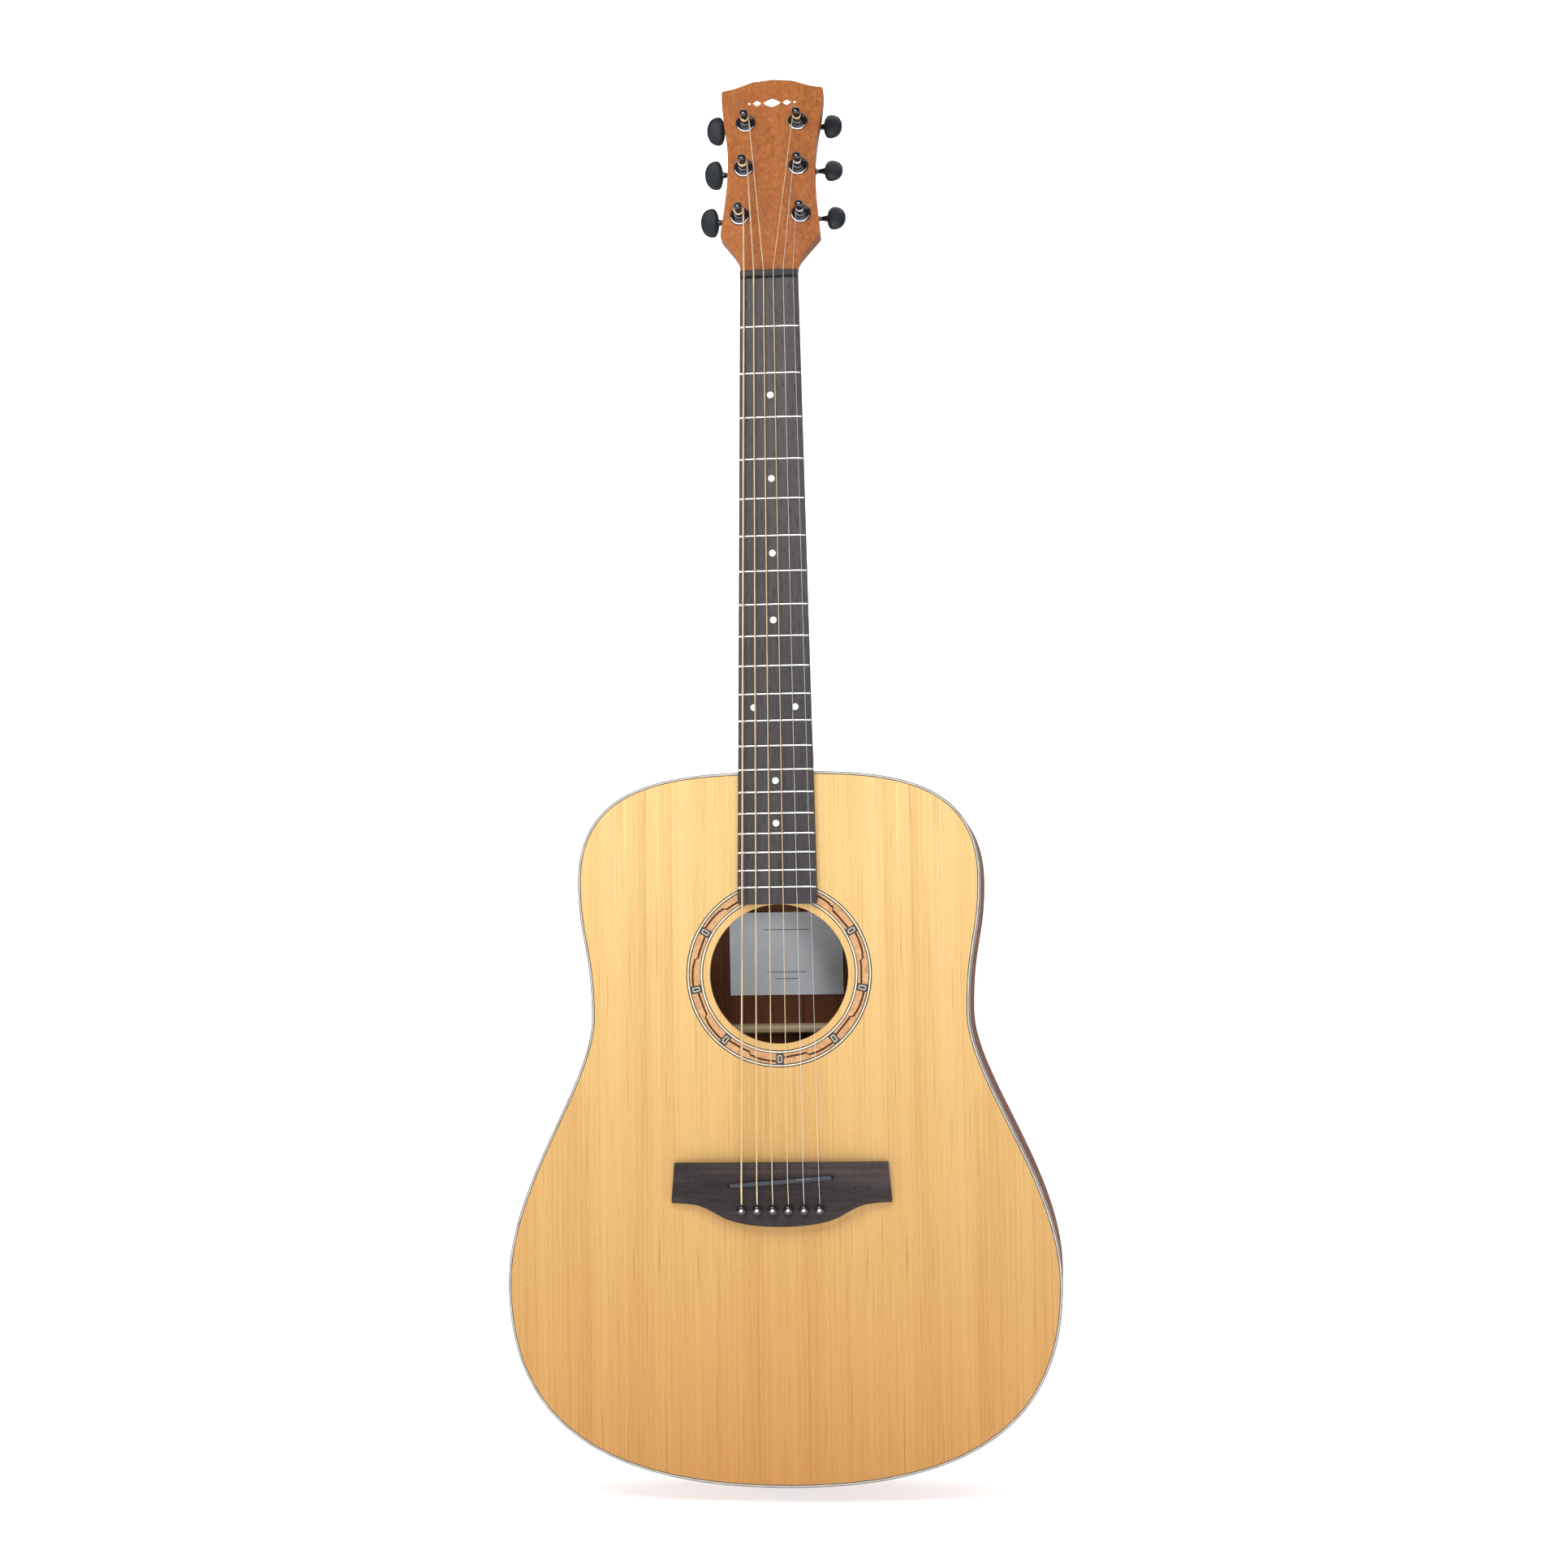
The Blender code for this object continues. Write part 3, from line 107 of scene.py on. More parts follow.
class Look:
    """A Principled material that is built up node by node."""

    def __init__(self, name, **sockets):
        self.material = bpy.data.materials.new(name)
        self.material.use_nodes = True
        self.tree = self.material.node_tree
        self.shader = self.tree.nodes["Principled BSDF"]
        for key, value in sockets.items():
            self.shader.inputs[key.replace("_", " ")].default_value = value

    def node(self, kind, inputs=None, **settings):
        made = self.tree.nodes.new("ShaderNode" + kind)
        for key, value in settings.items():
            setattr(made, key, value)
        for key, value in (inputs or {}).items():
            self.put(made.inputs[key], value)
        return made

    def put(self, socket, value):
        if isinstance(value, bpy.types.NodeSocket):
            self.tree.links.new(value, socket)
        else:
            socket.default_value = value

    def place(self, scale, mirrored=False):
        """Object coordinates, which are the frame's metres, stretched by a scale for each axis."""
        out = self.node("TexCoord").outputs["Object"]
        if mirrored:
            out = self.node("VectorMath", {0: out}, operation="ABSOLUTE").outputs[0]
        return self.node("Mapping", {"Vector": out, "Scale": scale}).outputs[0]

    def noise(self, scale, detail=2.0, rough=0.5, mirrored=False, warp=0.0):
        inputs = {"Vector": self.place(scale, mirrored), "Scale": 1.0, "Detail": detail,
                  "Roughness": rough, "Distortion": warp}
        return self.node("TexNoise", inputs).outputs["Fac"]

    def ramp(self, factor, *stops):
        made = self.node("ValToRGB", {"Fac": factor})
        band = made.color_ramp
        while len(band.elements) < len(stops):
            band.elements.new(0.5)
        for element, (position, colour) in zip(band.elements, stops):
            element.position = position
            element.color = (*colour, 1)
        return made.outputs["Color"]

    def span(self, factor, low, high, start=0.3, end=0.7):
        inputs = {"Value": factor, "From Min": start, "From Max": end, "To Min": low, "To Max": high}
        return self.node("MapRange", inputs).outputs["Result"]

    def math(self, operation, a, b=0.0):
        return self.node("Math", {0: a, 1: b}, operation=operation).outputs[0]

    def weigh(self, *parts):
        """The sum of several factors, each times its share."""
        total = 0.0
        for factor, share in parts:
            inputs = {0: factor, 1: share, 2: total}
            total = self.node("Math", inputs, operation="MULTIPLY_ADD").outputs[0]
        return total

    def mix(self, factor, a, b, blend="MIX"):
        made = self.node("Mix", data_type="RGBA", blend_type=blend)
        self.put(made.inputs[0], factor)
        for socket, value in ((6, a), (7, b)):
            self.put(made.inputs[socket], (*value, 1) if isinstance(value, tuple) else value)
        return made.outputs[2]

    def finish(self, colour, roughness, height=None, strength=0.1, depth=0.0001):
        self.put(self.shader.inputs["Base Color"], colour)
        self.put(self.shader.inputs["Roughness"], roughness)
        if height is not None:
            inputs = {"Height": height, "Strength": strength, "Distance": depth}
            self.put(self.shader.inputs["Normal"], self.node("Bump", inputs).outputs[0])
        return self.material


def shift(colour, factor):
    return tuple(min(1, c * factor) for c in colour)


def along(scale, axis):
    """Grain frequencies (across, across, lengthwise) turned to run along an axis."""
    across, other, lengthwise = scale
    return {"Z": (across, other, lengthwise), "X": (lengthwise, other, across),
            "Y": (across, lengthwise, other)}[axis]


def wood(name, dark, middle, light, axis="Z", fine=900, figure=60, pores=0.0, mirrored=False,
         roughness=0.4, coat=0.0, contrast=1.0, streak=None, streaks=0.0, gloss=0.5, flecks=0.0):
    """Wood with broad tone, growth lines, optional open pores and darker streaks, all along its grain."""
    look = Look(name, Coat_Weight=coat, Coat_Roughness=0.25, Specular_IOR_Level=gloss)
    broad = look.noise(along((figure * 0.22, figure * 0.22, figure * 0.02), axis), 3, 0.5, mirrored, 0.6)
    lines = look.noise(along((fine * 0.32, fine * 0.2, fine * 0.004), axis), 3, 0.6, mirrored, 0.15)
    fibre = look.noise(along((fine * 2.1, fine, fine * 0.03), axis), 2, 0.6, mirrored)
    blended = look.weigh((broad, 0.5), (lines, 0.34), (fibre, 0.16))
    spread = 0.17 / contrast
    colour = look.ramp(blended, (0.5 - spread, dark), (0.5, middle), (0.5 + spread, light))
    if streaks:
        band = look.noise(along((figure * 1.6, figure * 0.5, figure * 0.028), axis), 2, 0.5, mirrored, 0.3)
        amount = look.span(band, 0.0, streaks, 0.56, 0.72)
        colour = look.mix(amount, colour, streak)
    if flecks:
        spots = look.noise(along((430, 430, 230), axis), 2, 0.6, mirrored)
        colour = look.mix(look.span(spots, 0.0, flecks, 0.52, 0.7), colour, shift(light, 1.2))
        colour = look.mix(look.span(spots, flecks, 0.0, 0.32, 0.48), colour, shift(dark, 0.8))
    height = fibre
    rough = look.span(lines, roughness * 0.85, roughness * 1.2)
    if pores:
        pits = look.noise(along((1900, 1900, 95), axis), 1, 0.4, mirrored)
        holes = look.span(pits, 1.0, 0.0, 0.33, 0.42)
        colour = look.mix(look.math("MULTIPLY", holes, pores), colour, shift(dark, 0.35))
        height = look.math("SUBTRACT", fibre, holes)
        rough = look.math("ADD", rough, look.math("MULTIPLY", holes, 0.15))
    return look.finish(colour, rough, height, 0.12, 0.00008)


def spruce():
    """The top: book-matched halves with fine growth lines, soft bands and short darker flecks, and painted
    shade that darkens it towards the tail.
    """
    look = Look("spruce_top", Coat_Weight=0.05, Coat_Roughness=0.3, Specular_IOR_Level=0.35)
    bands = look.noise((26, 6, 0.9), 3, 0.5, True, 0.5)
    warm = look.noise((95, 20, 2.2), 2, 0.5, True, 0.3)
    lines = look.noise((520, 60, 1.6), 3, 0.6, True, 0.1)
    fibre = look.noise((2100, 700, 22), 2, 0.6, True)
    speckle = look.noise((620, 620, 340), 2, 0.6, True)
    mixed = look.weigh((bands, 0.25), (warm, 0.16), (lines, 0.28), (fibre, 0.17), (speckle, 0.14))
    colour = look.ramp(mixed, (0.37, (0.62, 0.375, 0.125)), (0.5, (0.72, 0.475, 0.18)),
                       (0.63, (0.80, 0.56, 0.24)))
    flecks = look.noise((900, 120, 9), 2, 0.5, True)
    colour = look.mix(look.span(flecks, 0.0, 0.7, 0.62, 0.72), colour, (0.42, 0.18, 0.045))
    # Painted shade: the colour darkens from the upper bout down to the tail, standing in for light that falls
    # off down the body.
    depth = look.node("SeparateXYZ", {0: look.place((1, 1, 1))}).outputs[2]
    painted_shade_colour = look.mix(1.0, colour, (0.77, 0.57, 0.41), "MULTIPLY")
    colour = look.mix(look.span(depth, 0.0, 1.0, -0.42, -0.87), colour, painted_shade_colour)
    threads = look.noise((1500, 200, 3), 2, 0.5, True)
    colour = look.mix(look.span(threads, 0.0, 0.6, 0.62, 0.74), colour, (0.34, 0.16, 0.055))
    rough = look.span(lines, 0.36, 0.52)
    return look.finish(colour, rough, fibre, 0.12, 0.00008)


def metal(name, colour, roughness, brushed=(900, 900, 900), wear=0.12, metallic=1.0):
    look = Look(name, Metallic=metallic)
    scratches = look.noise(brushed, 4, 0.65)
    smudge = look.noise((130, 130, 130), 3, 0.6)
    tone = look.ramp(smudge, (0.3, shift(colour, 1 - wear)), (0.7, shift(colour, 1 + wear)))
    rough = look.math("ADD", look.span(scratches, roughness * 0.7, roughness * 1.3),
                      look.span(smudge, 0.0, 0.06, 0.45, 0.8))
    return look.finish(tone, rough, scratches, 0.05, 0.00004)


def plastic(name, colour, roughness, grain=2600, coat=0.0, gloss=0.5):
    look = Look(name, Coat_Weight=coat, Coat_Roughness=0.12, Specular_IOR_Level=gloss)
    stipple = look.noise((grain, grain, grain), 2, 0.5)
    dust = look.noise((90, 90, 90), 3, 0.6)
    tone = look.ramp(dust, (0.3, shift(colour, 0.85)), (0.75, shift(colour, 1.3)))
    rough = look.span(dust, roughness * 0.85, roughness * 1.15)
    return look.finish(tone, rough, stipple, 0.08, 0.00006)


def wound_wire(name, colour):
    """Fine turns of wrap wire that run across the string, with painted shade in the grooves between them."""
    look = Look(name, Metallic=0.55)
    inputs = {"Vector": look.place((1, 1, 1)), "Scale": 1100.0, "Distortion": 0.15, "Detail": 1.0}
    turns = look.node("TexWave", inputs, wave_type="BANDS", bands_direction="Z").outputs["Fac"]
    tarnish = look.noise((300, 300, 55), 3, 0.6)
    tone = look.ramp(tarnish, (0.3, shift(colour, 0.82)), (0.7, colour))
    # Painted shade: the colour darkens in the grooves between the turns.
    tone = look.mix(look.span(turns, 0.28, 0.0, 0, 1), tone, shift(colour, 0.35))
    return look.finish(tone, look.span(tarnish, 0.32, 0.48), turns, 0.35, 0.00005)


def pearl(name):
    look = Look(name, Coat_Weight=0.6, Coat_Roughness=0.1)
    swirl = look.noise((420, 420, 420), 3, 0.6, warp=1.6)
    tone = look.ramp(swirl, (0.3, (0.72, 0.74, 0.72)), (0.5, (0.9, 0.88, 0.82)), (0.7, (0.93, 0.94, 0.95)))
    return look.finish(tone, look.span(swirl, 0.16, 0.3), swirl, 0.06, 0.00005)


def paper(name):
    look = Look(name)
    fibres = look.noise((900, 900, 900), 4, 0.7)
    wash = look.noise((34, 34, 34), 2, 0.5)
    blended = look.weigh((fibres, 0.4), (wash, 0.6))
    tone = look.ramp(blended, (0.35, (0.80, 0.86, 0.96)), (0.65, (0.90, 0.94, 0.99)))
    return look.finish(tone, look.span(fibres, 0.75, 0.92), fibres, 0.15, 0.00008)


def burl(name, dark, light):
    """Light marquetry wood with cloudy figure for the rosette."""
    look = Look(name, Coat_Weight=0.25, Coat_Roughness=0.25)
    cloud = look.noise((230, 230, 230), 4, 0.62, warp=1.2)
    specks = look.noise((1300, 1300, 1300), 2, 0.5)
    tone = look.ramp(look.weigh((cloud, 0.7), (specks, 0.3)), (0.36, dark), (0.64, light))
    return look.finish(tone, look.span(cloud, 0.36, 0.5), specks, 0.08, 0.00005)


def floor_look():
    look = Look("studio_floor", Emission_Color=(1, 1, 1, 1), Emission_Strength=0.7)
    mottle = look.noise((3, 3, 3), 3, 0.5)
    tone = look.ramp(mottle, (0.3, (0.9, 0.9, 0.9)), (0.7, (0.93, 0.93, 0.93)))
    return look.finish(tone, look.span(mottle, 0.82, 0.92, 0, 1))


SPRUCE = spruce()
BRACE_WOOD = wood("spruce_brace", (0.70, 0.54, 0.31), (0.84, 0.70, 0.45), (0.90, 0.79, 0.56), axis="X",
                  fine=1100, roughness=0.7)
LINING_WOOD = wood("lining_wood", (0.42, 0.26, 0.12), (0.56, 0.37, 0.19), (0.66, 0.47, 0.27), fine=700,
                   roughness=0.75)
MAHOGANY = wood("mahogany_neck", (0.24, 0.068, 0.013), (0.34, 0.104, 0.022), (0.43, 0.155, 0.042), fine=800,
                figure=70, pores=0.45, roughness=0.5, contrast=0.9, gloss=0.25,
                streak=(0.40, 0.165, 0.055), streaks=0.35, flecks=0.4)
# A darker copy of the head's mahogany for every face that doesn't face the front: partly the darker end
# grain, partly painted shade on the sides.
SHADED_MAHOGANY = wood("mahogany_shaded", (0.15, 0.042, 0.014), (0.22, 0.066, 0.022), (0.29, 0.10, 0.034),
                     fine=800, figure=70, pores=0.45, roughness=0.5, gloss=0.12,
                     streak=(0.32, 0.12, 0.045), streaks=0.3)
BODY_MAHOGANY = wood("mahogany_body", (0.11, 0.032, 0.012), (0.18, 0.056, 0.020), (0.26, 0.092, 0.034),
                     fine=700, figure=46, pores=0.55, mirrored=True, roughness=0.45, gloss=0.25,
                     streak=(0.085, 0.024, 0.010), streaks=0.55)
# Painted shade: the sides are a darker copy of the body mahogany, standing in for the shade on the rim.
RIM_MAHOGANY_SHADED = wood("mahogany_rim_shaded", (0.08, 0.023, 0.009), (0.14, 0.042, 0.015), (0.21, 0.072, 0.026),
                     fine=700, figure=46, pores=0.55, roughness=0.6, gloss=0.03,
                     streak=(0.12, 0.034, 0.014), streaks=0.5)
ROSEWOOD = wood("rosewood_bridge", (0.016, 0.011, 0.012), (0.040, 0.030, 0.032), (0.090, 0.064, 0.062),
                axis="X", fine=800, figure=90, pores=0.5, roughness=0.5, contrast=1.0,
                streak=(0.125, 0.070, 0.048), streaks=0.75, gloss=0.22)
CAP_ROSEWOOD = wood("rosewood_cap", (0.028, 0.019, 0.021), (0.060, 0.042, 0.045), (0.115, 0.075, 0.066),
                    axis="X", fine=900, figure=120, pores=0.4, roughness=0.45)
EBONY = wood("dark_board", (0.026, 0.023, 0.025), (0.044, 0.038, 0.041), (0.072, 0.060, 0.062),
             fine=900, figure=80, pores=0.6, roughness=0.5, contrast=0.9,
             streak=(0.10, 0.06, 0.055), streaks=0.45, gloss=0.35)
BURL = burl("rosette_wood", (0.47, 0.215, 0.08), (0.70, 0.41, 0.19))
CREAM = plastic("cream_purfling", (0.78, 0.70, 0.52), 0.4)
INK_WOOD = wood("dark_inlay", (0.028, 0.021, 0.015), (0.048, 0.037, 0.027), (0.075, 0.058, 0.042),
                fine=1500)
TRAIL_WOOD = wood("brown_inlay", (0.035, 0.012, 0.008), (0.058, 0.020, 0.012), (0.085, 0.034, 0.020),
                  fine=1500, gloss=0.2)
FRAME_WOOD = wood("grey_inlay", (0.42, 0.38, 0.31), (0.56, 0.51, 0.43), (0.66, 0.61, 0.53), fine=1500)
PALE_PLY = plastic("pale_ply", (0.50, 0.47, 0.42), 0.4)
BINDING = plastic("black_binding", (0.016, 0.016, 0.018), 0.28, 1800, 0.4)
BLACK_BONE = plastic("black_nut", (0.013, 0.0135, 0.016), 0.42, 2200, 0.03, 0.2)
SADDLE_BONE = plastic("grey_saddle", (0.030, 0.035, 0.046), 0.35, 2200, 0.1, 0.4)
BUTTON = plastic("satin_button", (0.011, 0.014, 0.018), 0.5, 3000, gloss=0.25)
PIN_BLACK = plastic("gloss_pin", (0.010, 0.010, 0.012), 0.2, 2400, 0.6)
CHROME = metal("black_chrome", (0.075, 0.077, 0.088), 0.1)
BRIGHT = metal("chrome_edge", (0.22, 0.22, 0.23), 0.13)
FRET_METAL = metal("fret_metal", (0.68, 0.68, 0.67), 0.2, (120, 4000, 4000), 0.06)
STEEL = metal("tool_steel", (0.40, 0.40, 0.41), 0.35, (1500, 1500, 120))
PLAIN_WIRE = metal("plain_wire", (0.80, 0.80, 0.82), 0.34, (3000, 3000, 120), 0.08, 0.6)
BRONZE_WIRE = wound_wire("bronze_wire", (0.95, 0.72, 0.44))
PEARL = pearl("pearl_dot")
PAPER = paper("label_paper")


# ---- mesh tools

def add_skin(bm, rings, caps=True, loop=False, cyclic=True):
    """Faces between rings of points; a loop joins the last ring to the first."""
    rows = [[bm.verts.new(p) for p in ring] for ring in rings]
    pairs = list(zip(rows, rows[1:]))
    if loop:
        pairs.append((rows[-1], rows[0]))
    for first, second in pairs:
        count = len(first)
        for i in range(count if cyclic else count - 1):
            j = (i + 1) % count
            bm.faces.new((first[i], first[j], second[j], second[i]))
    if caps and not loop:
        bm.faces.new(rows[0])
        bm.faces.new(rows[-1])


def add_object(name, data):
    made = bpy.data.objects.new(name, data)
    bpy.context.scene.collection.objects.link(made)
    return made


def build(name, bm, look, slot, body="body", replaces=(), sharp=38, turn=None):
    """The finished piece, in metres, on its body and with its finish."""
    if turn is not None:
        bmesh.ops.transform(bm, matrix=turn, verts=bm.verts)
    bmesh.ops.scale(bm, vec=(0.001, 0.001, 0.001), verts=bm.verts)
    bmesh.ops.recalc_face_normals(bm, faces=bm.faces)
    mesh = bpy.data.meshes.new(name)
    bm.to_mesh(mesh)
    bm.free()
    mesh.shade_smooth()
    mesh.set_sharp_from_angle(angle=math.radians(sharp))
    mesh.materials.append(look)
    piece = add_object(name, mesh)
    if slot:
        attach(piece, body)
    if replaces:
        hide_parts(*replaces)
    return piece


def make(name, rings, look, slot, body="body", replaces=(), sharp=38, turn=None, **skin):
    bm = bmesh.new()
    add_skin(bm, rings, **skin)
    return build(name, bm, look, slot, body, replaces, sharp, turn)


def circle(radius, steps, centre=(0, 0), start=0.0):
    angles = [start + 2 * math.pi * i / steps for i in range(steps)]
    return [(centre[0] + radius * math.cos(a), centre[1] + radius * math.sin(a)) for a in angles]


def rounded(half_x, half_y, bend, steps):
    """A rectangle with round corners, from the distances of their centres and their radius."""
    points = []
    for x, y, start in ((1, 1, 0), (-1, 1, 90), (-1, -1, 180), (1, -1, 270)):
        for k in range(steps):
            a = math.radians(start + 90 * k / (steps - 1))
            points.append((x * half_x + bend * math.cos(a), y * half_y + bend * math.sin(a)))
    return points


def lathe(profile, steps=40):
    return [[(x, y, h) for x, y in circle(r, steps)] for r, h in profile]


def carve(piece, cutters):
    """Cuts closed meshes out of a piece and keeps the result as its mesh."""
    for cutter in cutters:
        step = piece.modifiers.new("carve", "BOOLEAN")
        step.object = cutter
        step.solver = "EXACT"
    bpy.context.view_layer.update()
    evaluated = piece.evaluated_get(bpy.context.evaluated_depsgraph_get())
    mesh = bpy.data.meshes.new_from_object(evaluated)
    piece.modifiers.clear()
    piece.data = mesh
    mesh.set_sharp_from_angle(angle=math.radians(38))
    for cutter in cutters:
        bpy.data.objects.remove(cutter)


def bezier(start, handle_a, handle_b, end, steps):
    ends = [Vector((*p, 0)) for p in (start, handle_a, handle_b, end)]
    return [Vector(p[:2]) for p in interpolate_bezier(*ends, steps + 1)[:-1]]


def spline(values, parts):
    """Catmull-Rom points through a list of numbers, vectors or sections."""
    def at(a, b, c, d, t):
        return 0.5 * ((2 * b) + (c - a) * t + (2 * a - 5 * b + 4 * c - d) * t * t
                      + (3 * b - a - 3 * c + d) * t ** 3)

    out = []
    last = len(values) - 1
    for i in range(last):
        a, b, c, d = values[max(0, i - 1)], values[i], values[i + 1], values[min(last, i + 2)]
        for k in range(parts):
            t = k / parts
            if isinstance(b, (list, tuple)):
                out.append([at(p, q, r, s, t) for p, q, r, s in zip(a, b, c, d)])
            else:
                out.append(at(a, b, c, d, t))
    return out + [values[-1]]


def tube(path, radius, steps=10):
    """Rings round a path of vectors, turned as little as possible from one to the next."""
    rings = []
    side = None
    for i, point in enumerate(path):
        ahead = (path[min(i + 1, len(path) - 1)] - path[max(i - 1, 0)]).normalized()
        if side is None:
            side = ahead.orthogonal().normalized()
        side = (side - ahead * side.dot(ahead)).normalized()
        other = ahead.cross(side)
        rings.append([point + radius * (side * math.cos(a) + other * math.sin(a))
                      for a in [2 * math.pi * k / steps for k in range(steps)]])
    return rings


# ---- shapes of the instrument

def fret_z(number):
    return -SCALE * (1 - 2 ** (-number / 12))


def board_half(z):
    return (BOARD_NUT_WIDTH + (BOARD_END_WIDTH - BOARD_NUT_WIDTH) * z / BOARD_END) / 2


def board_y(x):
    return -BOARD_THICK + x * x / (2 * BOARD_RADIUS)


def spaced(span):
    return {n: span * (i / 5 - 0.5) for i, n in enumerate(STRINGS)}


def on_head(x, distance, out=0.0):
    return Vector((x, distance * math.sin(HEAD_TILT) - out * math.cos(HEAD_TILT),
                   NUT_THICK + distance * math.cos(HEAD_TILT) + out * math.sin(HEAD_TILT)))


def seat(number):
    """A tuner's own frame: X across the head, Y up it, Z out of its face."""
    x, distance = POSTS[number]
    s, c = math.sin(HEAD_TILT), math.cos(HEAD_TILT)
    turned = Matrix(((1, 0, 0), (0, s, -c), (0, c, s))).to_4x4()
    return Matrix.Translation(on_head(x, distance)) @ turned


def body_outline():
    def above(point, length):
        return (point[0], point[1] + length)

    def below(point, length):
        return (point[0], point[1] - length)

    half = bezier((0, BODY_TOP), (68, BODY_TOP), above(UPPER_BOUT, 78), UPPER_BOUT, 48)
    half += bezier(UPPER_BOUT, below(UPPER_BOUT, 41), above(WAIST, 49), WAIST, 20)
    half += bezier(WAIST, below(WAIST, 48), above(LOWER_BOUT, 72), LOWER_BOUT, 32)
    half += bezier(LOWER_BOUT, below(LOWER_BOUT, 91), (143, BODY_TAIL), (0, BODY_TAIL), 56)
    return half + [Vector((0, BODY_TAIL))] + [Vector((-p.x, p.y)) for p in reversed(half[1:])]


OUTLINE = body_outline()


def inset(distance):
    moved = []
    for before, here, after in zip(OUTLINE[-1:] + OUTLINE[:-1], OUTLINE, OUTLINE[1:] + OUTLINE[:1]):
        ahead = (after - before).normalized()
        moved.append(here + distance * Vector((ahead.y, -ahead.x)))
    return moved


def back_y(x, z):
    length = BODY_TOP - BODY_TAIL
    taper = DEPTH_AT_NECK + (DEPTH_AT_TAIL - DEPTH_AT_NECK) * (BODY_TOP - z) / length
    dome = (length / 2) ** 2 - (z - (BODY_TOP + BODY_TAIL) / 2) ** 2 - x * x
    return taper + dome / (2 * BACK_RADIUS)


def behind(offset):
    """The height, at a place on the body, that lies an offset in front of the back's face."""
    return lambda x, z: back_y(x, z) - offset


def edge_ring(distance, height):
    """A ring round the body: how far in it is, and its Y, a number or a function of the place."""
    return [(p.x, height(p.x, p.y) if callable(height) else height, p.y) for p in inset(distance)]


def hole_ring(radius, y, steps=180):
    return [(x, y, z) for x, z in circle(radius, steps, (0, HOLE_Z))]


# ---- body

def soundboard():
    angles = [math.atan2(p.y - HOLE_Z, p.x) for p in inset(2.0)]

    def hole(radius, y):
        return [(radius * math.cos(a), y, HOLE_Z + radius * math.sin(a)) for a in angles]

    rings = [edge_ring(2.0, PLATE), edge_ring(2.0, 0), hole(54, 0), hole(50.6, 0), hole(50.2, 0.12),
             hole(50, 0.5), hole(50, PLATE - 0.4), hole(50.3, PLATE)]
    make("soundboard_top", rings, SPRUCE, "spruce", replaces=("soundboard",), loop=True)


def bindings():
    front = [edge_ring(d, y) for d, y in
             ((0, 6), (0, 0.8), (0.08, 0.4), (0.25, 0.14), (0.5, 0.02), (0.8, 0), (1.9, 0.02), (1.9, 6))]
    make("binding_front", front, BINDING, "binding", replaces=("binding_top",), loop=True)
    for name, first, last, look in (("purfling_light", 0.6, 1.7, PALE_PLY),
                                    ("purfling_dark", 1.65, 2.2, BINDING)):
        rings = [edge_ring(d, y) for d, y in ((first, 0.5), (first, -0.02), (last, -0.02), (last, 0.5))]
        make(name, rings, look, "binding", loop=True)

    rear = [edge_ring(d, behind(o)) for d, o in
            ((0, 6), (0, 1.1), (0.12, 0.55), (0.4, 0.2), (0.9, 0.02), (1.6, 0), (1.6, 6))]
    make("binding_rear", rear, BINDING, "binding", replaces=("binding_back",), loop=True)
    rings = [edge_ring(d, behind(o)) for d, o in ((1.5, 0.5), (1.5, -0.02), (2.2, -0.02), (2.2, 0.5))]
    make("purfling_rear", rings, CREAM, "binding", loop=True)


def sides():
    outer, inner = OUTLINE, inset(2.2)
    last = len(outer) // 2
    for name, sign, node in (("side_treble", 1, "rim_treble"), ("side_bass", -1, "rim_bass")):
        sections = []
        for i in range(last + 1):
            o, n = outer[i], inner[i]
            sections.append([(sign * max(x, 0.05), y, z) for x, z, y in
                             ((o.x, o.y, 5.9), (n.x, n.y, 5.9), (n.x, n.y, back_y(n.x, n.y) - 5.9),
                              (o.x, o.y, back_y(o.x, o.y) - 5.9))])
        make(name, sections, RIM_MAHOGANY_SHADED, "mahogany", replaces=(node,))
    for name, low, high in (("side_line_front", 6.0, 6.7), ("side_line_rear", behind(6.7), behind(6.0))):
        rings = [edge_ring(1.0, low), edge_ring(-0.03, low), edge_ring(-0.03, high), edge_ring(1.0, high)]
        make(name, rings, CREAM, "binding", loop=True)
    graft = []
    for share in (0, 1):
        y = 6.8 + (back_y(0, BODY_TAIL) - 13.6) * share
        half = 9 - 3 * share
        graft.append([(-half, y, BODY_TAIL - 0.05), (half, y, BODY_TAIL - 0.05),
                      (half, y, BODY_TAIL + 1), (-half, y, BODY_TAIL + 1)])
    make("end_graft", graft, BINDING, "binding")


def back():
    edge = inset(1.9)
    middle = Vector((0, -610))
    shares = (1, 0.92, 0.8, 0.66, 0.5, 0.34, 0.18, 0.06)
    rings = []
    for share, offset in [(v, 0) for v in reversed(shares)] + [(v, -PLATE) for v in shares]:
        ring = [middle.lerp(p, share) for p in edge]
        rings.append([(p.x, back_y(p.x, p.y) + offset, p.y) for p in ring])
    make("back_panel", rings, BODY_MAHOGANY, "mahogany", replaces=("back_plate",))
    stations = [BODY_TOP - 2.5 + (BODY_TAIL - BODY_TOP + 5) * i / 40 for i in range(41)]
    for name, bands, look in (("back_strip", ((-1.5, 1.5),), INK_WOOD),
                              ("back_strip_lines", ((-2.1, -1.4), (1.4, 2.1)), CREAM)):
        bm = bmesh.new()
        for left, right in bands:
            corners = ((left, 0.03), (right, 0.03), (right, -0.5), (left, -0.5))
            add_skin(bm, [[(x, back_y(0, z) + out, z) for x, out in corners] for z in stations])
        build(name, bm, look, "rosewood")


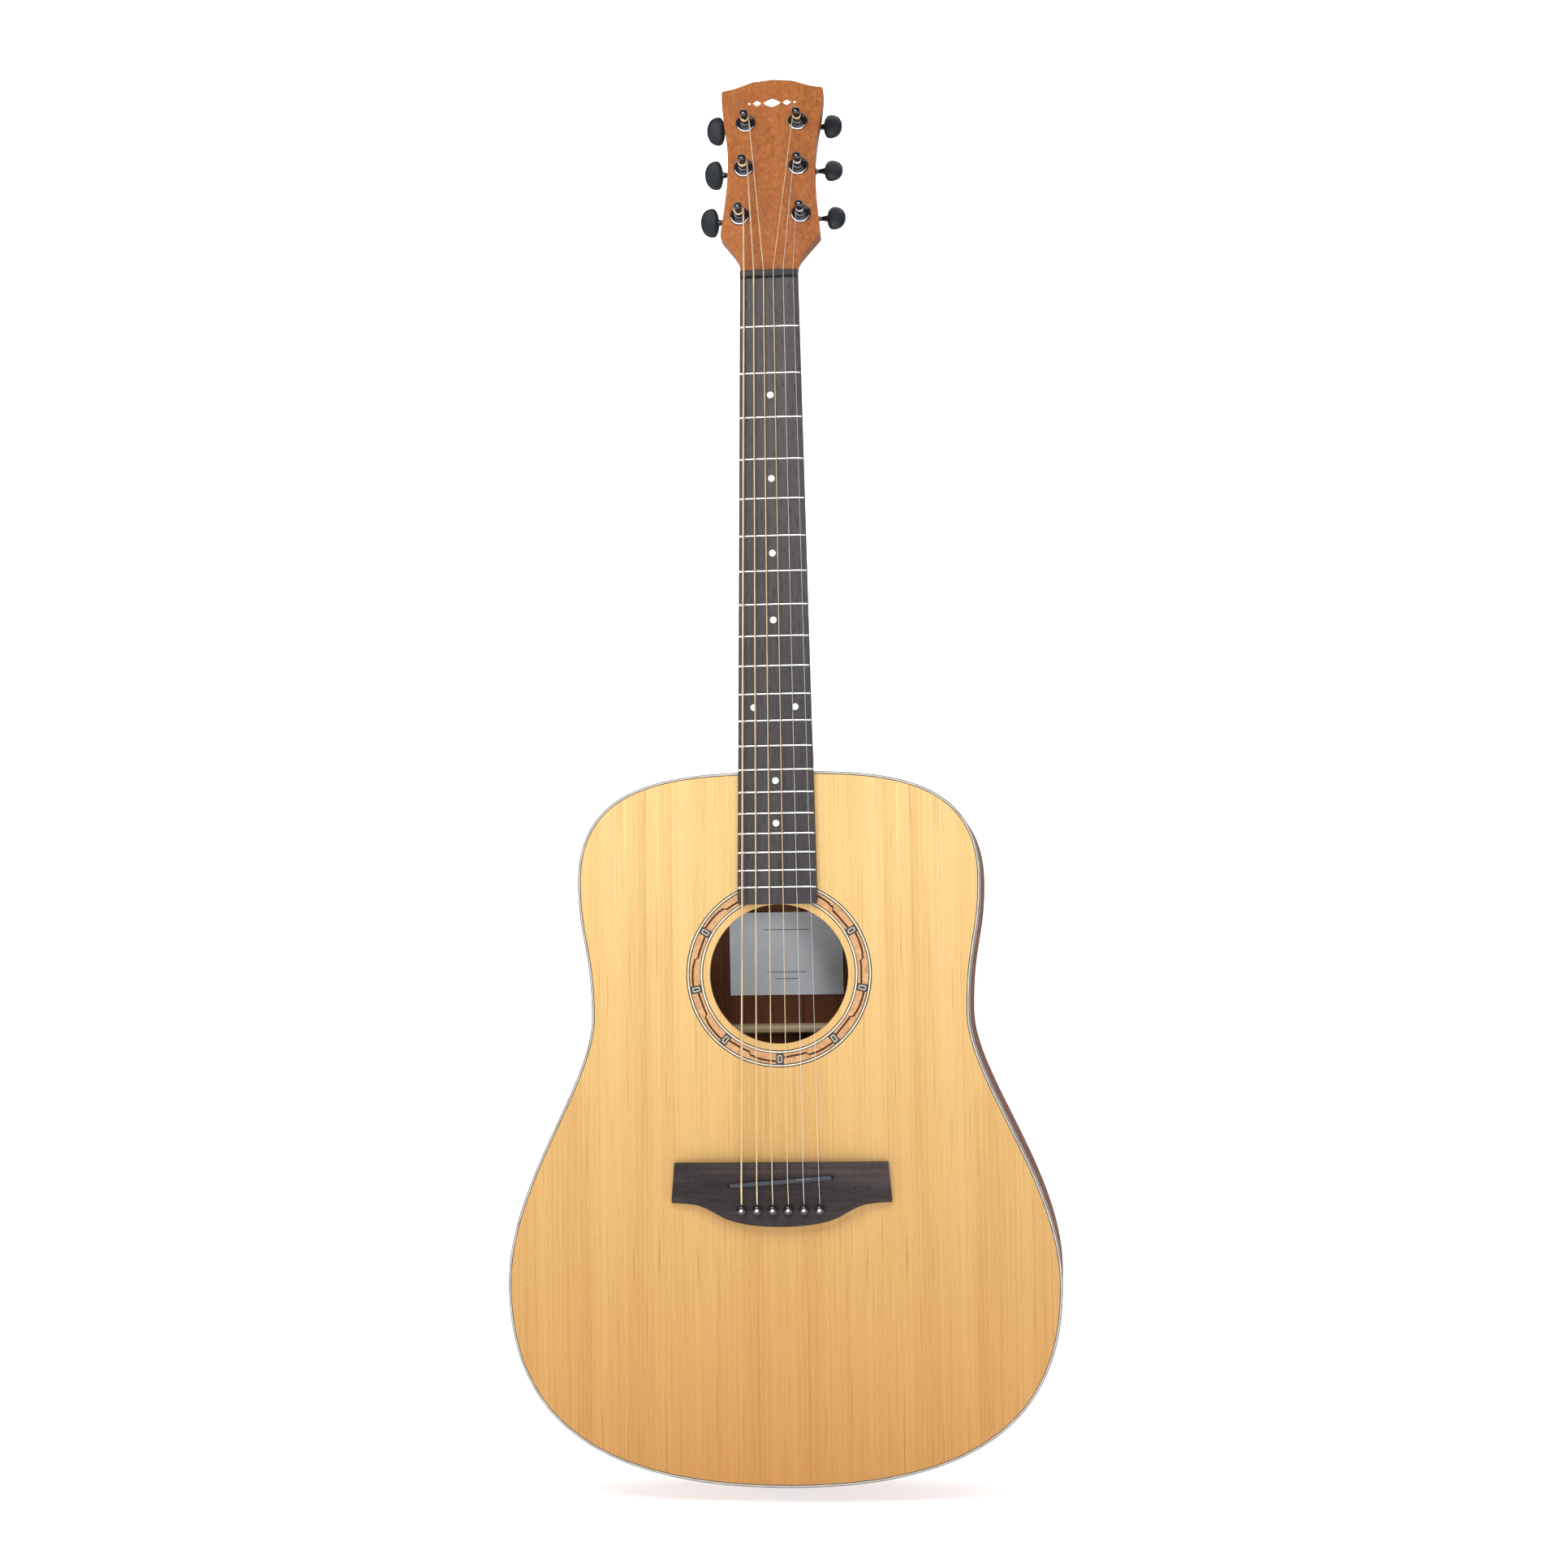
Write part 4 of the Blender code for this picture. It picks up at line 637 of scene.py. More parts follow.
def back_braces():
    """Light cross bars with rounded tops, and a wide flat strip over the seam."""
    bars = ((-447, 131, 8, 15), (-549, 125, 8, 15), (-672, 174, 17, 9), (-778, 176, 17, 9))
    profile = ((-1, 0), (-1, 0.6), (-0.6, 0.92), (0, 1), (0.6, 0.92), (1, 0.6), (1, 0))
    for index, (z, half, wide, tall) in enumerate(bars):
        sections = []
        for k in range(25):
            x = half * (k / 12 - 1)
            rise = min(1, (half - abs(x)) / 32)
            top = 2.5 + (tall - 2.5) * (1 - (1 - rise) ** 2)
            y = back_y(x, z) - PLATE
            sections.append([(x, y - top * up, z + wide / 2 * side) for side, up in profile])
        make(f"back_brace_{index + 1}", sections, BRACE_WOOD, "inner_wood",
             replaces=("back_bracing",) if index == 0 else ())
    bm = bmesh.new()
    ends = [(-443, -424), (-545, -452), (-662, -554), (-769, -682), (-843, -787)]
    for low, high in ends:
        sections = []
        for k in range(9):
            z = low + (high - low) * k / 8
            y = back_y(0, z) - PLATE
            sections.append([(-8, y + 0.2, z), (8, y + 0.2, z), (6.5, y - 1.6, z), (-6.5, y - 1.6, z)])
        add_skin(bm, sections)
    build("seam_strips", bm, BODY_MAHOGANY, "mahogany")


def label():
    rows = []
    for i in range(9):
        z = -461 - 62.5 * i / 8
        rows.append([Vector((-48 + 86 * k / 12, 0, z)) for k in range(13)])
    front, rear = [], []
    for i, row in enumerate(rows):
        curl = 0.5 * (abs(i - 4) / 4) ** 3
        lift = [back_y(p.x, p.z) - PLATE - 2.0 - curl for p in row]
        front.append([(p.x, y - 0.12, p.z) for p, y in zip(row, lift)])
        rear.append([(p.x, y, p.z) for p, y in zip(row, lift)])
    rings = [a + list(reversed(b)) for a, b in zip(front, rear)]
    make("paper_label", rings, PAPER, "inner_wood")
    bm = bmesh.new()
    for z, left, right in ((-474, -22, 12), (-506, -20, 10), (-511, -14, 4)):
        ring = []
        for x in (left, right):
            y = back_y(x, z) - PLATE - 2.35
            ring.append([(x, y, z), (x, y, z - 0.5), (x, y + 0.1, z - 0.5), (x, y + 0.1, z)])
        add_skin(bm, ring)
    build("label_rules", bm, INK_WOOD, "inner_wood")


def rosette():
    def bands(name, radii, top, look, replaces=()):
        bm = bmesh.new()
        for low, high in radii:
            add_skin(bm, [hole_ring(low, 0.6), hole_ring(low, top), hole_ring(high, top),
                          hole_ring(high, 0.6)], loop=True)
        build(name, bm, look, "rosette", replaces=replaces)

    bands("rosette_band", ((57.1, 64.9),), -0.02, BURL, ("rosette",))
    bands("rosette_cream", ((55.6, 56.7), (65.4, 66.4)), -0.03, CREAM)
    bands("rosette_dark", ((54.85, 55.65), (56.65, 57.3), (64.6, 65.45), (66.35, 67.2)), -0.03, INK_WOOD)

    def polar(radius, sideways, angle, y):
        out = Vector((math.cos(angle), math.sin(angle)))
        across = Vector((-out.y, out.x))
        p = out * radius + across * sideways
        return (p.x, y, HOLE_Z + p.y)

    blocks, outlines, trail = bmesh.new(), bmesh.new(), bmesh.new()
    for k in range(9):
        angle = math.radians(270 + 40 * k)
        corners = ((57.25, -2.8), (64.7, -2.8), (64.7, 2.8), (57.25, 2.8))
        add_skin(blocks, [[polar(r, s, angle, y) for r, s in corners] for y in (-0.05, 0.5)])
        rings = [[polar(61 + r, s, angle, y) for r, s in rounded(1.8, 0.7, bend, 4)]
                 for bend, y in ((0.9, 0.2), (0.9, -0.08), (0.2, -0.08), (0.2, 0.2))]
        add_skin(outlines, rings, loop=True)
        path = [(62.6, -2.4), (62.5, -10), (62.2, -16.6), (61.6, -18.2), (62.0, -19.4), (60.9, -20.8),
                (59.8, -21.6), (59.7, -24), (59.5, -31), (59.9, -37.6)]
        fine = spline([Vector((r, d)) for r, d in path], 4)
        sections = []
        for r, d in fine:
            a = angle + math.radians(d)
            sections.append([polar(r + side, 0, a, y) for side, y in
                             ((-0.7, -0.04), (0.7, -0.04), (0.7, 0.3), (-0.7, 0.3))])
        add_skin(trail, sections)
    build("rosette_trail", trail, TRAIL_WOOD, "rosette")
    build("rosette_blocks", blocks, INK_WOOD, "rosette")
    build("rosette_frames", outlines, FRAME_WOOD, "rosette")


# ---- neck and fingerboard

def neck_section(outer, inner, half, power, count=33):
    start = Vector((0, outer[1], outer[0]))
    down = Vector((0, inner[1], inner[0])) - start
    points = []
    for i in range(count):
        angle = math.pi * i / (count - 1)
        side = math.copysign(abs(math.cos(angle)) ** (2 / power), math.cos(angle))
        drop = max(0, math.sin(angle)) ** (2 / power)
        points.append(start + down * drop + Vector((half * side, 0, 0)))
    return points


def head_sections():
    outline = bezier((21.3, 0), (21.6, 11), (31, 22), HEAD_FLARE, 24)
    outline += bezier(HEAD_FLARE, (HEAD_FLARE[0] - 1.2, HEAD_FLARE[1] + 16),
                      (HEAD_WAIST[0], HEAD_WAIST[1] - 25), HEAD_WAIST, 14)
    outline += bezier(HEAD_WAIST, (HEAD_WAIST[0], HEAD_WAIST[1] + 25),
                      (HEAD_CORNER[0], HEAD_CORNER[1] - 25), HEAD_CORNER, 16)
    outline = [p for p in outline if p.y > 3]
    outline.append(Vector((HEAD_CORNER[0], HEAD_CREST + 12)))
    sections = []
    for point in outline:
        squareness = min(1, point.y / HEAD_FLARE[1])
        face = on_head(0, point.y)
        behind = on_head(0, point.y, -HEAD_THICK)
        power = 2.2 + 12 * squareness ** 2
        sections.append(neck_section((face.z, face.y), (behind.z, behind.y), point.x, power))
    return sections


def heel_sections():
    face = BODY_TOP + 0.3
    centre = (SHAFT_END, 50)
    radii = (-(face + HEEL_REACH + 1.5 - SHAFT_END), centre[1] - SHAFT_DEPTHS[1])
    elbow = ((22.5, (-322, 0), 26.4), (45, (-344, 0), 26.8), (62, (face, 0), 27.1),
             (78, (face, 22), 23.5), (90, (face, 50), 18.5))
    sections = []
    for degrees, outer, half in elbow:
        angle = math.radians(degrees)
        inner = (centre[0] - radii[0] * math.sin(angle), centre[1] - radii[1] * math.cos(angle))
        sections.append(neck_section(outer, inner, half, 2.3))
    for depth, half in ((75, 15), (HEEL_DEPTH, 13)):
        sections.append(neck_section((face, depth), (face + HEEL_REACH, depth), half, 2.3))
    return sections


def neck():
    shaft = []
    for z in [2] + [SHAFT_END * share for share in (0.12, 0.4, 0.7, 1)]:
        share = max(0, z / SHAFT_END)
        depth = SHAFT_DEPTHS[0] + (SHAFT_DEPTHS[1] - SHAFT_DEPTHS[0]) * share
        shaft.append(neck_section((z, 0), (z, depth), board_half(z) - 0.1, 2.2))
    lower = spline([list(s) for s in shaft + heel_sections()], 5)
    made = make("neck_and_head", head_sections()[::-1] + lower, SHADED_MAHOGANY, "mahogany",
                replaces=("neck",), sharp=30)
    wide, tall = HEAD_CORNER
    shoulder, ear = (14, HEAD_CREST - 1.3), (wide - 2.2, tall + 0.1)
    right = bezier((0, HEAD_CREST), (5, HEAD_CREST - 0.2), (9, shoulder[1] + 0.1), shoulder, 8)
    right += bezier(shoulder, (21, shoulder[1] - 1.8), (26, tall + 1.4), ear, 10)
    right += bezier(ear, (wide - 0.6, tall), (wide - 0.1, tall - 0.8), (wide, tall - 2.4), 5)
    beyond = ((wide + 0.6, tall - 2.6), (wide + 6, tall - 2.6), (wide + 6, HEAD_CREST + 20))
    right += [Vector(p) for p in beyond]
    outline = right + [Vector((-p.x, p.y)) for p in reversed(right[1:])]
    rings = [[on_head(p.x, p.y, out) for p in outline] for out in (3, -HEAD_THICK - 3)]
    carve(made, [make("crest_cut", rings, SHADED_MAHOGANY, None)])
    # Painted shade: only the head's front face gets the lighter mahogany, and every other face keeps the
    # darker copy, partly darker end grain and partly painted shade.
    made.data.materials.append(MAHOGANY)
    front = on_head(0, 0, 1) - on_head(0, 0)
    for polygon in made.data.polygons:
        on_face = polygon.normal.dot(front) > 0.9 and polygon.center.z > 0.003
        polygon.material_index = len(made.data.materials) - 1 if on_face else 0
    face = BODY_TOP + 0.3
    cap = [neck_section((face, d), (face + HEEL_REACH - e, d), 13 - e, 2.3)
           for d, e in ((HEEL_DEPTH + 0.05, 0), (HEEL_DEPTH + 2.3, 0), (HEEL_DEPTH + 2.8, 0.6))]
    make("heel_cap_plate", cap, CAP_ROSEWOOD, "rosewood", replaces=("heel_cap",))
    line = [neck_section((face, d), (face + HEEL_REACH + 0.03, d), 13.03, 2.3)
            for d in (HEEL_DEPTH - 0.5, HEEL_DEPTH + 0.1)]
    make("heel_cap_line", line, CREAM, "binding")


def fingerboard():
    stations = [-0.2] + [BOARD_END * i / 30 for i in range(1, 30)]
    stations += [BOARD_END + 2, BOARD_END + 1, BOARD_END + 0.4, BOARD_END]
    trims = {BOARD_END + 1: 0.28, BOARD_END + 0.4: 0.8, BOARD_END: 1.7}
    sections = []
    for z in stations:
        half = board_half(z) - trims.get(z, 0)
        points = [(-half, -0.05, z), (-half, board_y(half) + 0.7, z), (-half + 0.2, board_y(half) + 0.2, z)]
        for k in range(15):
            x = (half - 0.7) * (k / 7 - 1)
            points.append((x, board_y(x), z))
        points += [(half - 0.2, board_y(half) + 0.2, z), (half, board_y(half) + 0.7, z), (half, -0.05, z)]
        sections.append(points)
    make("fingerboard_wood", sections, EBONY, "ebony", replaces=("fingerboard",))
    for number in range(1, FRETS + 1):
        z = fret_z(number)
        half = board_half(z) - 0.25
        rings = []
        for k in range(17):
            share = k / 8 - 1
            x = half * share
            end = abs(share) == 1
            radius = 0.85
            points = []
            for step in range(9):
                a = math.pi * step / 8
                rise = FRET_HEIGHT * math.sin(a) ** 1.2 * (0.35 if end else 1)
                points.append((x, board_y(x) - rise, z + radius * math.cos(a)))
            points += [(x, board_y(x) + 0.4, z - 0.7), (x, board_y(x) + 0.4, z + 0.7)]
            rings.append(points)
        make(f"fret_{number:02d}", rings, FRET_METAL, "fret_wire",
             replaces=("frets",) if number == 1 else (), sharp=50)
    places = [(0, (fret_z(n) + fret_z(n - 1)) / 2) for n in DOT_FRETS]
    twelfth = (fret_z(12) + fret_z(11)) / 2
    bm = bmesh.new()
    for x, z in places + [(-15, twelfth), (15, twelfth)]:
        y = board_y(x)
        add_skin(bm, [[(a, y + h, b) for a, b in circle(r, 32, (x, z))]
                      for r, h in ((2.4, 0.6), (2.4, -0.02), (2.25, -0.05))])
    build("board_dots", bm, PEARL, "rosette")
    bm = bmesh.new()
    for z in [p[1] for p in places] + [twelfth - 2.6, twelfth + 2.6]:
        x = -board_half(z)
        add_skin(bm, [[(x + h, a, b) for a, b in circle(1.0, 20, (-2.9, z))] for h in (0.5, -0.04)])
    build("side_dots", bm, PEARL, "rosette")


def nut():
    half = BOARD_NUT_WIDTH / 2
    bottom = {n: board_y(x) - FRET_HEIGHT - 0.5 for n, x in spaced(NUT_SPAN).items()}
    sections = []
    for z, drop in ((0.1, 0.5), (0.25, 0.15), (0.6, 0), (3.6, 0), (4.9, 0.35), (5.3, 0.9), (5.42, 1.8)):
        points = [(-half, -0.1, z), (-half, board_y(half) - 0.6 + drop, z)]
        for k in range(13):
            x = (half - 0.8) * (k / 6 - 1)
            points.append((x, board_y(x) - FRET_HEIGHT - 1.2 + drop, z))
        points += [(half, board_y(half) - 0.6 + drop, z), (half, -0.1, z)]
        sections.append(points)
    made = make("nut_block", sections, BLACK_BONE, "black_plastic", replaces=("nut",))
    cutters = []
    for number, x in spaced(NUT_SPAN).items():
        r = DIAMETERS[number] / 2 + 0.12
        y = bottom[number]
        half_slot = [(-r, y - 4), (-r, y - r + 0.1), (-r * 0.7, y + 0.05)]
        slot = half_slot + [(-a, b) for a, b in reversed(half_slot)]
        rings = [[(x + a, b, z) for a, b in slot] for z in (-1, NUT_THICK + 1)]
        cutters.append(make(f"nut_cut_{number}", rings, BLACK_BONE, None))
    carve(made, cutters)


# ---- bridge

def bridge():
    foot = -670.5
    ogee, turn = (62, foot - 1.2), (44, foot - 9)
    curve = [Vector((79.2, foot)), Vector((70, foot - 0.4))]
    curve += bezier(ogee, (56, ogee[1] - 1), (50, turn[1] + 3.5), turn, 10)
    curve += bezier(turn, (36, turn[1] - 5), (20, -687.5), (0, -687.5), 14) + [Vector((0, -687.5))]

    def lower(x):
        x = abs(x)
        for a, b in zip(curve, curve[1:]):
            if b.x <= x <= a.x:
                return b.y + (a.y - b.y) * (x - b.x) / max(1e-6, a.x - b.x)
        return foot

    def top(x):
        t = min(1, max(0, (abs(x) - 46) / 33.5))
        return -8 + 3.9 * t * t * (3 - 2 * t) * 0.95

    stations = [i * 2.0 for i in range(39)] + [76.8, 77.6, 78.6, 79.1]
    stations = [-x for x in reversed(stations[1:])] + stations
    sections = []
    for x in stations:
        z1 = -642 - max(0, abs(x) - 76.8) / 2.4 * 28
        z0 = lower(x)
        y = top(x)
        edge = min(0.9, (z1 - z0) * 0.3)
        ease = 0.5 if abs(x) > 78.9 else 0
        eased = ((0, edge), (edge * 0.3, edge * 0.3), (edge, 0))
        points = [(x, y + drop + ease, z1 - back) for back, drop in eased]
        points += [(x, y + drop + ease, z0 + back) for back, drop in reversed(eased)]
        sections.append([(x, -0.05, z1)] + points + [(x, -0.05, z0)])
    made = make("bridge_block", sections, ROSEWOOD, "rosewood", replaces=("bridge",), sharp=30)
    across = Vector((-SADDLE_SLANT, 1)).normalized()

    def bar(x, heights):
        """A section across the slot: pairs of how far towards the neck it is and its Y."""
        z = SADDLE_Z + SADDLE_SLANT * x
        return [(x + across.x * o, y, z + across.y * o) for o, y in heights]

    slot = [bar(x, ((1.8 - e, -20), (1.8 - e, -3), (e - 1.8, -3), (e - 1.8, -20)))
            for x, e in ((-37.9, 0.9), (-37, 0), (37, 0), (37.9, 0.9))]
    cutters = [make("slot_cut", slot, ROSEWOOD, None)]
    for number, x in spaced(PIN_SPAN).items():
        reach = 4.3 + DIAMETERS[number] / 2
        w = DIAMETERS[number] / 2 + 0.25
        back_points = circle(3, 24, start=math.pi)[:13]
        outline = back_points + [(w, 2.6), (w, reach), (-w, reach), (-w, 2.6)]
        rings = [[(x + a, y, PIN_Z + b) for a, b in outline] for y in (-14, 2)]
        cutters.append(make(f"pin_cut_{number}", rings, ROSEWOOD, None))
    carve(made, cutters)
    sections = []
    for x in (-37.6, -37.2, -36, -30, -20, -10, 0, 10.8, 11.1, 16, 21.7, 22.0, 30, 36, 37.2, 37.6):
        set_back = 11 < x < 21.9
        lean = -0.7 if set_back else 0.7
        ridge = board_y(x) - FRET_HEIGHT - 4.25 + (0.35 if set_back else 0) + max(0, abs(x) - 35.5) ** 2 * 0.5
        tops = [(o, ridge + 0.22 * (o - lean) ** 2)
                for o in (1.55, 1.2, lean + 0.25, lean - 0.25, -1.2, -1.55)]
        sections.append(bar(x, [(1.55, -3.2)] + tops + [(-1.55, -3.2)]))
    make("saddle_bar", sections, SADDLE_BONE, "black_plastic", replaces=("saddle",))
    profile = ((1.7, -17), (2.4, 6), (2.6, 8.05), (2.5, 8.7), (2.7, 9.2), (3.3, 9.7), (3.6, 10.4),
               (3.55, 11.2), (3.2, 12.0), (2.5, 12.6), (1.6, 12.9))
    dot = ((1.15, 12.6), (1.1, 12.98), (0.85, 13.08), (0.35, 13.12))
    for number, x in spaced(PIN_SPAN).items():
        turn = Matrix.Translation((x, 0, PIN_Z)) @ Matrix.Rotation(math.radians(90), 4, "X")
        make(f"pin_{number}", lathe(profile, 32), PIN_BLACK, "black_plastic", turn=turn,
             replaces=(f"bridge_pin_{number}",))
        make(f"pin_dot_{number}", lathe(dot, 24), PEARL, "rosette", turn=turn)


# ---- tuning machines

BUTTON_STEPS = ((-7, 2.4, 2.2), (-6.8, 4.4, 2.5), (-6.2, 6.9, 3.0), (-4.8, 9.6, 3.7), (-3.2, 10.5, 4.0),
                (-1.8, 10.7, 4.1), (0.4, 10.3, 4.05), (2.4, 9.4, 3.8), (4.2, 7.8, 3.4), (5.4, 5.8, 2.8),
                (6.3, 3.4, 1.9), (6.5, 2.2, 1.4))


def tuner_collar(number, place):
    """The washer and the threaded collar on the head's face."""
    washer = ((7.35, 0.02), (7.5, 0.35), (7.45, 0.75), (7.1, 1.0), (6.2, 1.05), (6.2, 0.05), (3.3, 0.02))
    make(f"washer_{number}", lathe(washer, 56), BRIGHT, "black_chrome", turn=place, loop=True)
    collar = ((3.25, -9), (4.6, -9), (4.6, 0.1), (6.35, 0.3), (6.4, 1.2), (6.0, 1.7), (5.1, 2.2),
              (4.75, 2.6), (4.7, 3.5), (4.4, 4.1), (3.9, 4.4), (3.25, 4.45))
    make(f"collar_{number}", lathe(collar, 48), CHROME, "black_chrome", turn=place, loop=True,
         replaces=(f"tuner_bushing_{number}",))


def tuner_post(number, place, side):
    """The post and the string's turns round its waist."""
    body = f"post_{number}"
    stem = ((1.9, -21.5), (3.0, -18.5), (3.0, 5.2), (2.75, 5.6), (2.4, 6.1), (2.4, 11.0), (2.75, 11.5),
            (3.0, 12.0), (3.1, 13.2), (3.05, 14.6), (2.75, 15.8), (2.1, 16.6), (1.2, 17.0), (0.4, 17.05))
    make(f"stem_{number}", lathe(stem), CHROME, "black_chrome", body, turn=place,
         replaces=(f"tuner_post_{number}",))
    thick = DIAMETERS[number]
    pitch = thick * 1.03
    path = []
    for k in range(int(min(5, 2.3 / pitch) * 28) + 1):
        a = (0 if side < 0 else math.pi) - side * 2 * math.pi * k / 28
        radius = (2.7 + thick / 2) * (1 - 0.08 * min(1, k / 14))
        path.append(Vector((radius * math.cos(a), radius * math.sin(a), 7.5 + pitch * k / 28)))
    look, slot = (BRONZE_WIRE, "bronze") if number >= 3 else (PLAIN_WIRE, "steel")
    make(f"winding_{number}", tube(path, thick / 2), look, slot, body, turn=place)


def tuner_key(number, place, side):
    """The shaft and its button; gives back the shaft's frame, with Z along it."""
    body = f"key_{number}"
    place = place @ Matrix.Translation((0, GEAR_CENTRES, -KEY_DEPTH))
    if side < 0:
        place = place @ Matrix.Rotation(math.pi, 4, "Y")
    lay = place @ Matrix.Rotation(math.radians(90), 4, "Y")
    rod = ((1.2, -4.9), (1.6, -4.7), (1.6, 8.2), (1.5, 8.4), (1.5, 10.2), (2.7, 10.4), (2.9, 11.0),
           (2.7, 11.6), (1.9, 12.0), (1.7, 13.6), (2.0, 15.6), (2.5, 17.6), (2.6, 18.6))
    make(f"shaft_{number}", lathe(rod, 28), CHROME, "black_chrome", body, turn=lay,
         replaces=(f"tuner_key_{number}",))
    swing = Matrix.Rotation(math.radians(BUTTON_TURNS[number]) * side, 3, "X")
    rings = []
    for x, length, wide in spline([Vector(step) for step in BUTTON_STEPS], 3):
        ring = [(c, math.copysign(abs(s) ** 0.8, s)) for c, s in circle(1, 36)]
        rings.append([swing @ Vector((BUTTON_REACH + x, length * c, wide * s)) for c, s in ring])
    make(f"button_{number}", rings, BUTTON, "black_plastic", body, turn=place, sharp=60)
    return lay


def tuner_housing(number, place, lay):
    """The case behind the head with its gear cover, screwed tab and shaft bush."""
    top = -HEAD_THICK - 0.1

    def under(profile, steps):
        return lathe([(r, top - deep) for r, deep in profile], steps)

    rings = [[(x * shrink, CASE_MIDDLE + y * shrink, top - deep) for x, y in rounded(6.6, 7, 2, 6)]
             for deep, shrink in ((0, 1), (7.2, 1), (8.1, 0.97), (8.6, 0.91), (8.7, 0.84))]
    make(f"case_{number}", rings, CHROME, "black_chrome", turn=place, replaces=(f"tuner_housing_{number}",))
    cover = ((5.6, 8.4), (5.6, 9.0), (5.2, 9.3), (1.8, 9.35), (1.6, 9.1), (0.3, 9.1))
    make(f"gear_cover_{number}", under(cover, 40), BRIGHT, "black_chrome", turn=place)
    ear = [(-3.2, -7), (3.2, -7)] + circle(3.2, 20, (0, -SCREW_DROP), math.pi)[10::-1]
    tab = [[(x, y, top - deep) for x, y in ear] for deep in (0, 1.6)]
    make(f"tab_{number}", tab, CHROME, "black_chrome", turn=place)
    screw = ((1.9, 1.5), (2.0, 2.0), (1.5, 2.5), (0.7, 2.65), (0.55, 2.2))
    screw_place = place @ Matrix.Translation((0, -SCREW_DROP, 0))
    make(f"screw_{number}", under(screw, 28), STEEL, "steel", turn=screw_place)
    bush = ((1.75, 8.3), (3.1, 8.35), (3.2, 9.4), (2.9, 9.9), (1.75, 9.95))
    make(f"shaft_bush_{number}", lathe(bush, 32), CHROME, "black_chrome", turn=lay, loop=True)


def tuners():
    for number in STRINGS:
        place = seat(number)
        side = 1 if POSTS[number][0] > 0 else -1
        tuner_collar(number, place)
        tuner_post(number, place, side)
        lay = tuner_key(number, place, side)
        tuner_housing(number, place, lay)


def strings():
    for number in STRINGS:
        assign(NODES[f"string_{number}"], BRONZE_WIRE if number >= 3 else PLAIN_WIRE)
    for number, x in spaced(PIN_SPAN).items():
        ball = ((0.8, -1.6), (1.9, -1.6), (2.1, -1.1), (1.3, -0.5), (1.3, 0.5), (2.1, 1.1), (1.9, 1.6),
                (0.8, 1.6))
        turn = Matrix.Translation((x, 8.9, PIN_Z + 3.6)) @ Matrix.Rotation(math.radians(90), 4, "Y")
        make(f"ball_end_{number}", lathe(ball, 24), BRONZE_WIRE, "bronze", turn=turn, loop=True)


def end_pin():
    profile = ((3.2, 27), (4.0, 0.1), (6.0, 0), (6.2, -0.5), (6.1, -1.5), (5.2, -2.2), (4.2, -3.2),
               (3.9, -4.3), (4.2, -5.4), (5.4, -6.6), (6.5, -7.6), (6.7, -8.3), (6.4, -9.0),
               (5.4, -9.45), (2, -9.5))
    turn = Matrix.Translation((0, back_y(0, BODY_TAIL) / 2, BODY_TAIL))
    make("strap_button", lathe(profile, 44), PIN_BLACK, "black_plastic", turn=turn, replaces=("end_pin",))


def head_inlay():
    """A row of plain lozenges, the widest in the middle, between two small dots."""
    bm = bmesh.new()
    shapes = [circle(0.9, 20, (x, 141)) for x in (-17, 17)]
    for middle, wide, tall in ((0, 6.4, 3.5), (-11.2, 3.0, 2.2), (11.2, 3.0, 2.2)):
        shapes.append([(middle + wide * math.copysign(abs(c) ** 1.6, c),
                        141 + tall * math.copysign(abs(s) ** 1.6, s)) for c, s in circle(1, 32)])
    for shape in shapes:
        add_skin(bm, [[on_head(x, y, out) for x, y in shape] for out in (-0.4, 0.04)])
    build("head_inlay", bm, PEARL, "rosette")


def assign(node, look):
    node.data.materials.clear()
    node.data.materials.append(look)


def inner_parts():
    for name in ("lining_top", "lining_back", "neck_block", "tail_block"):
        assign(NODES[name], LINING_WOOD)
    assign(NODES["top_bracing"], BRACE_WOOD)
    assign(NODES["bridge_plate"], CAP_ROSEWOOD)
    for name in ("truss_rod", "truss_rod_nut"):
        assign(NODES[name], STEEL)


# ---- studio

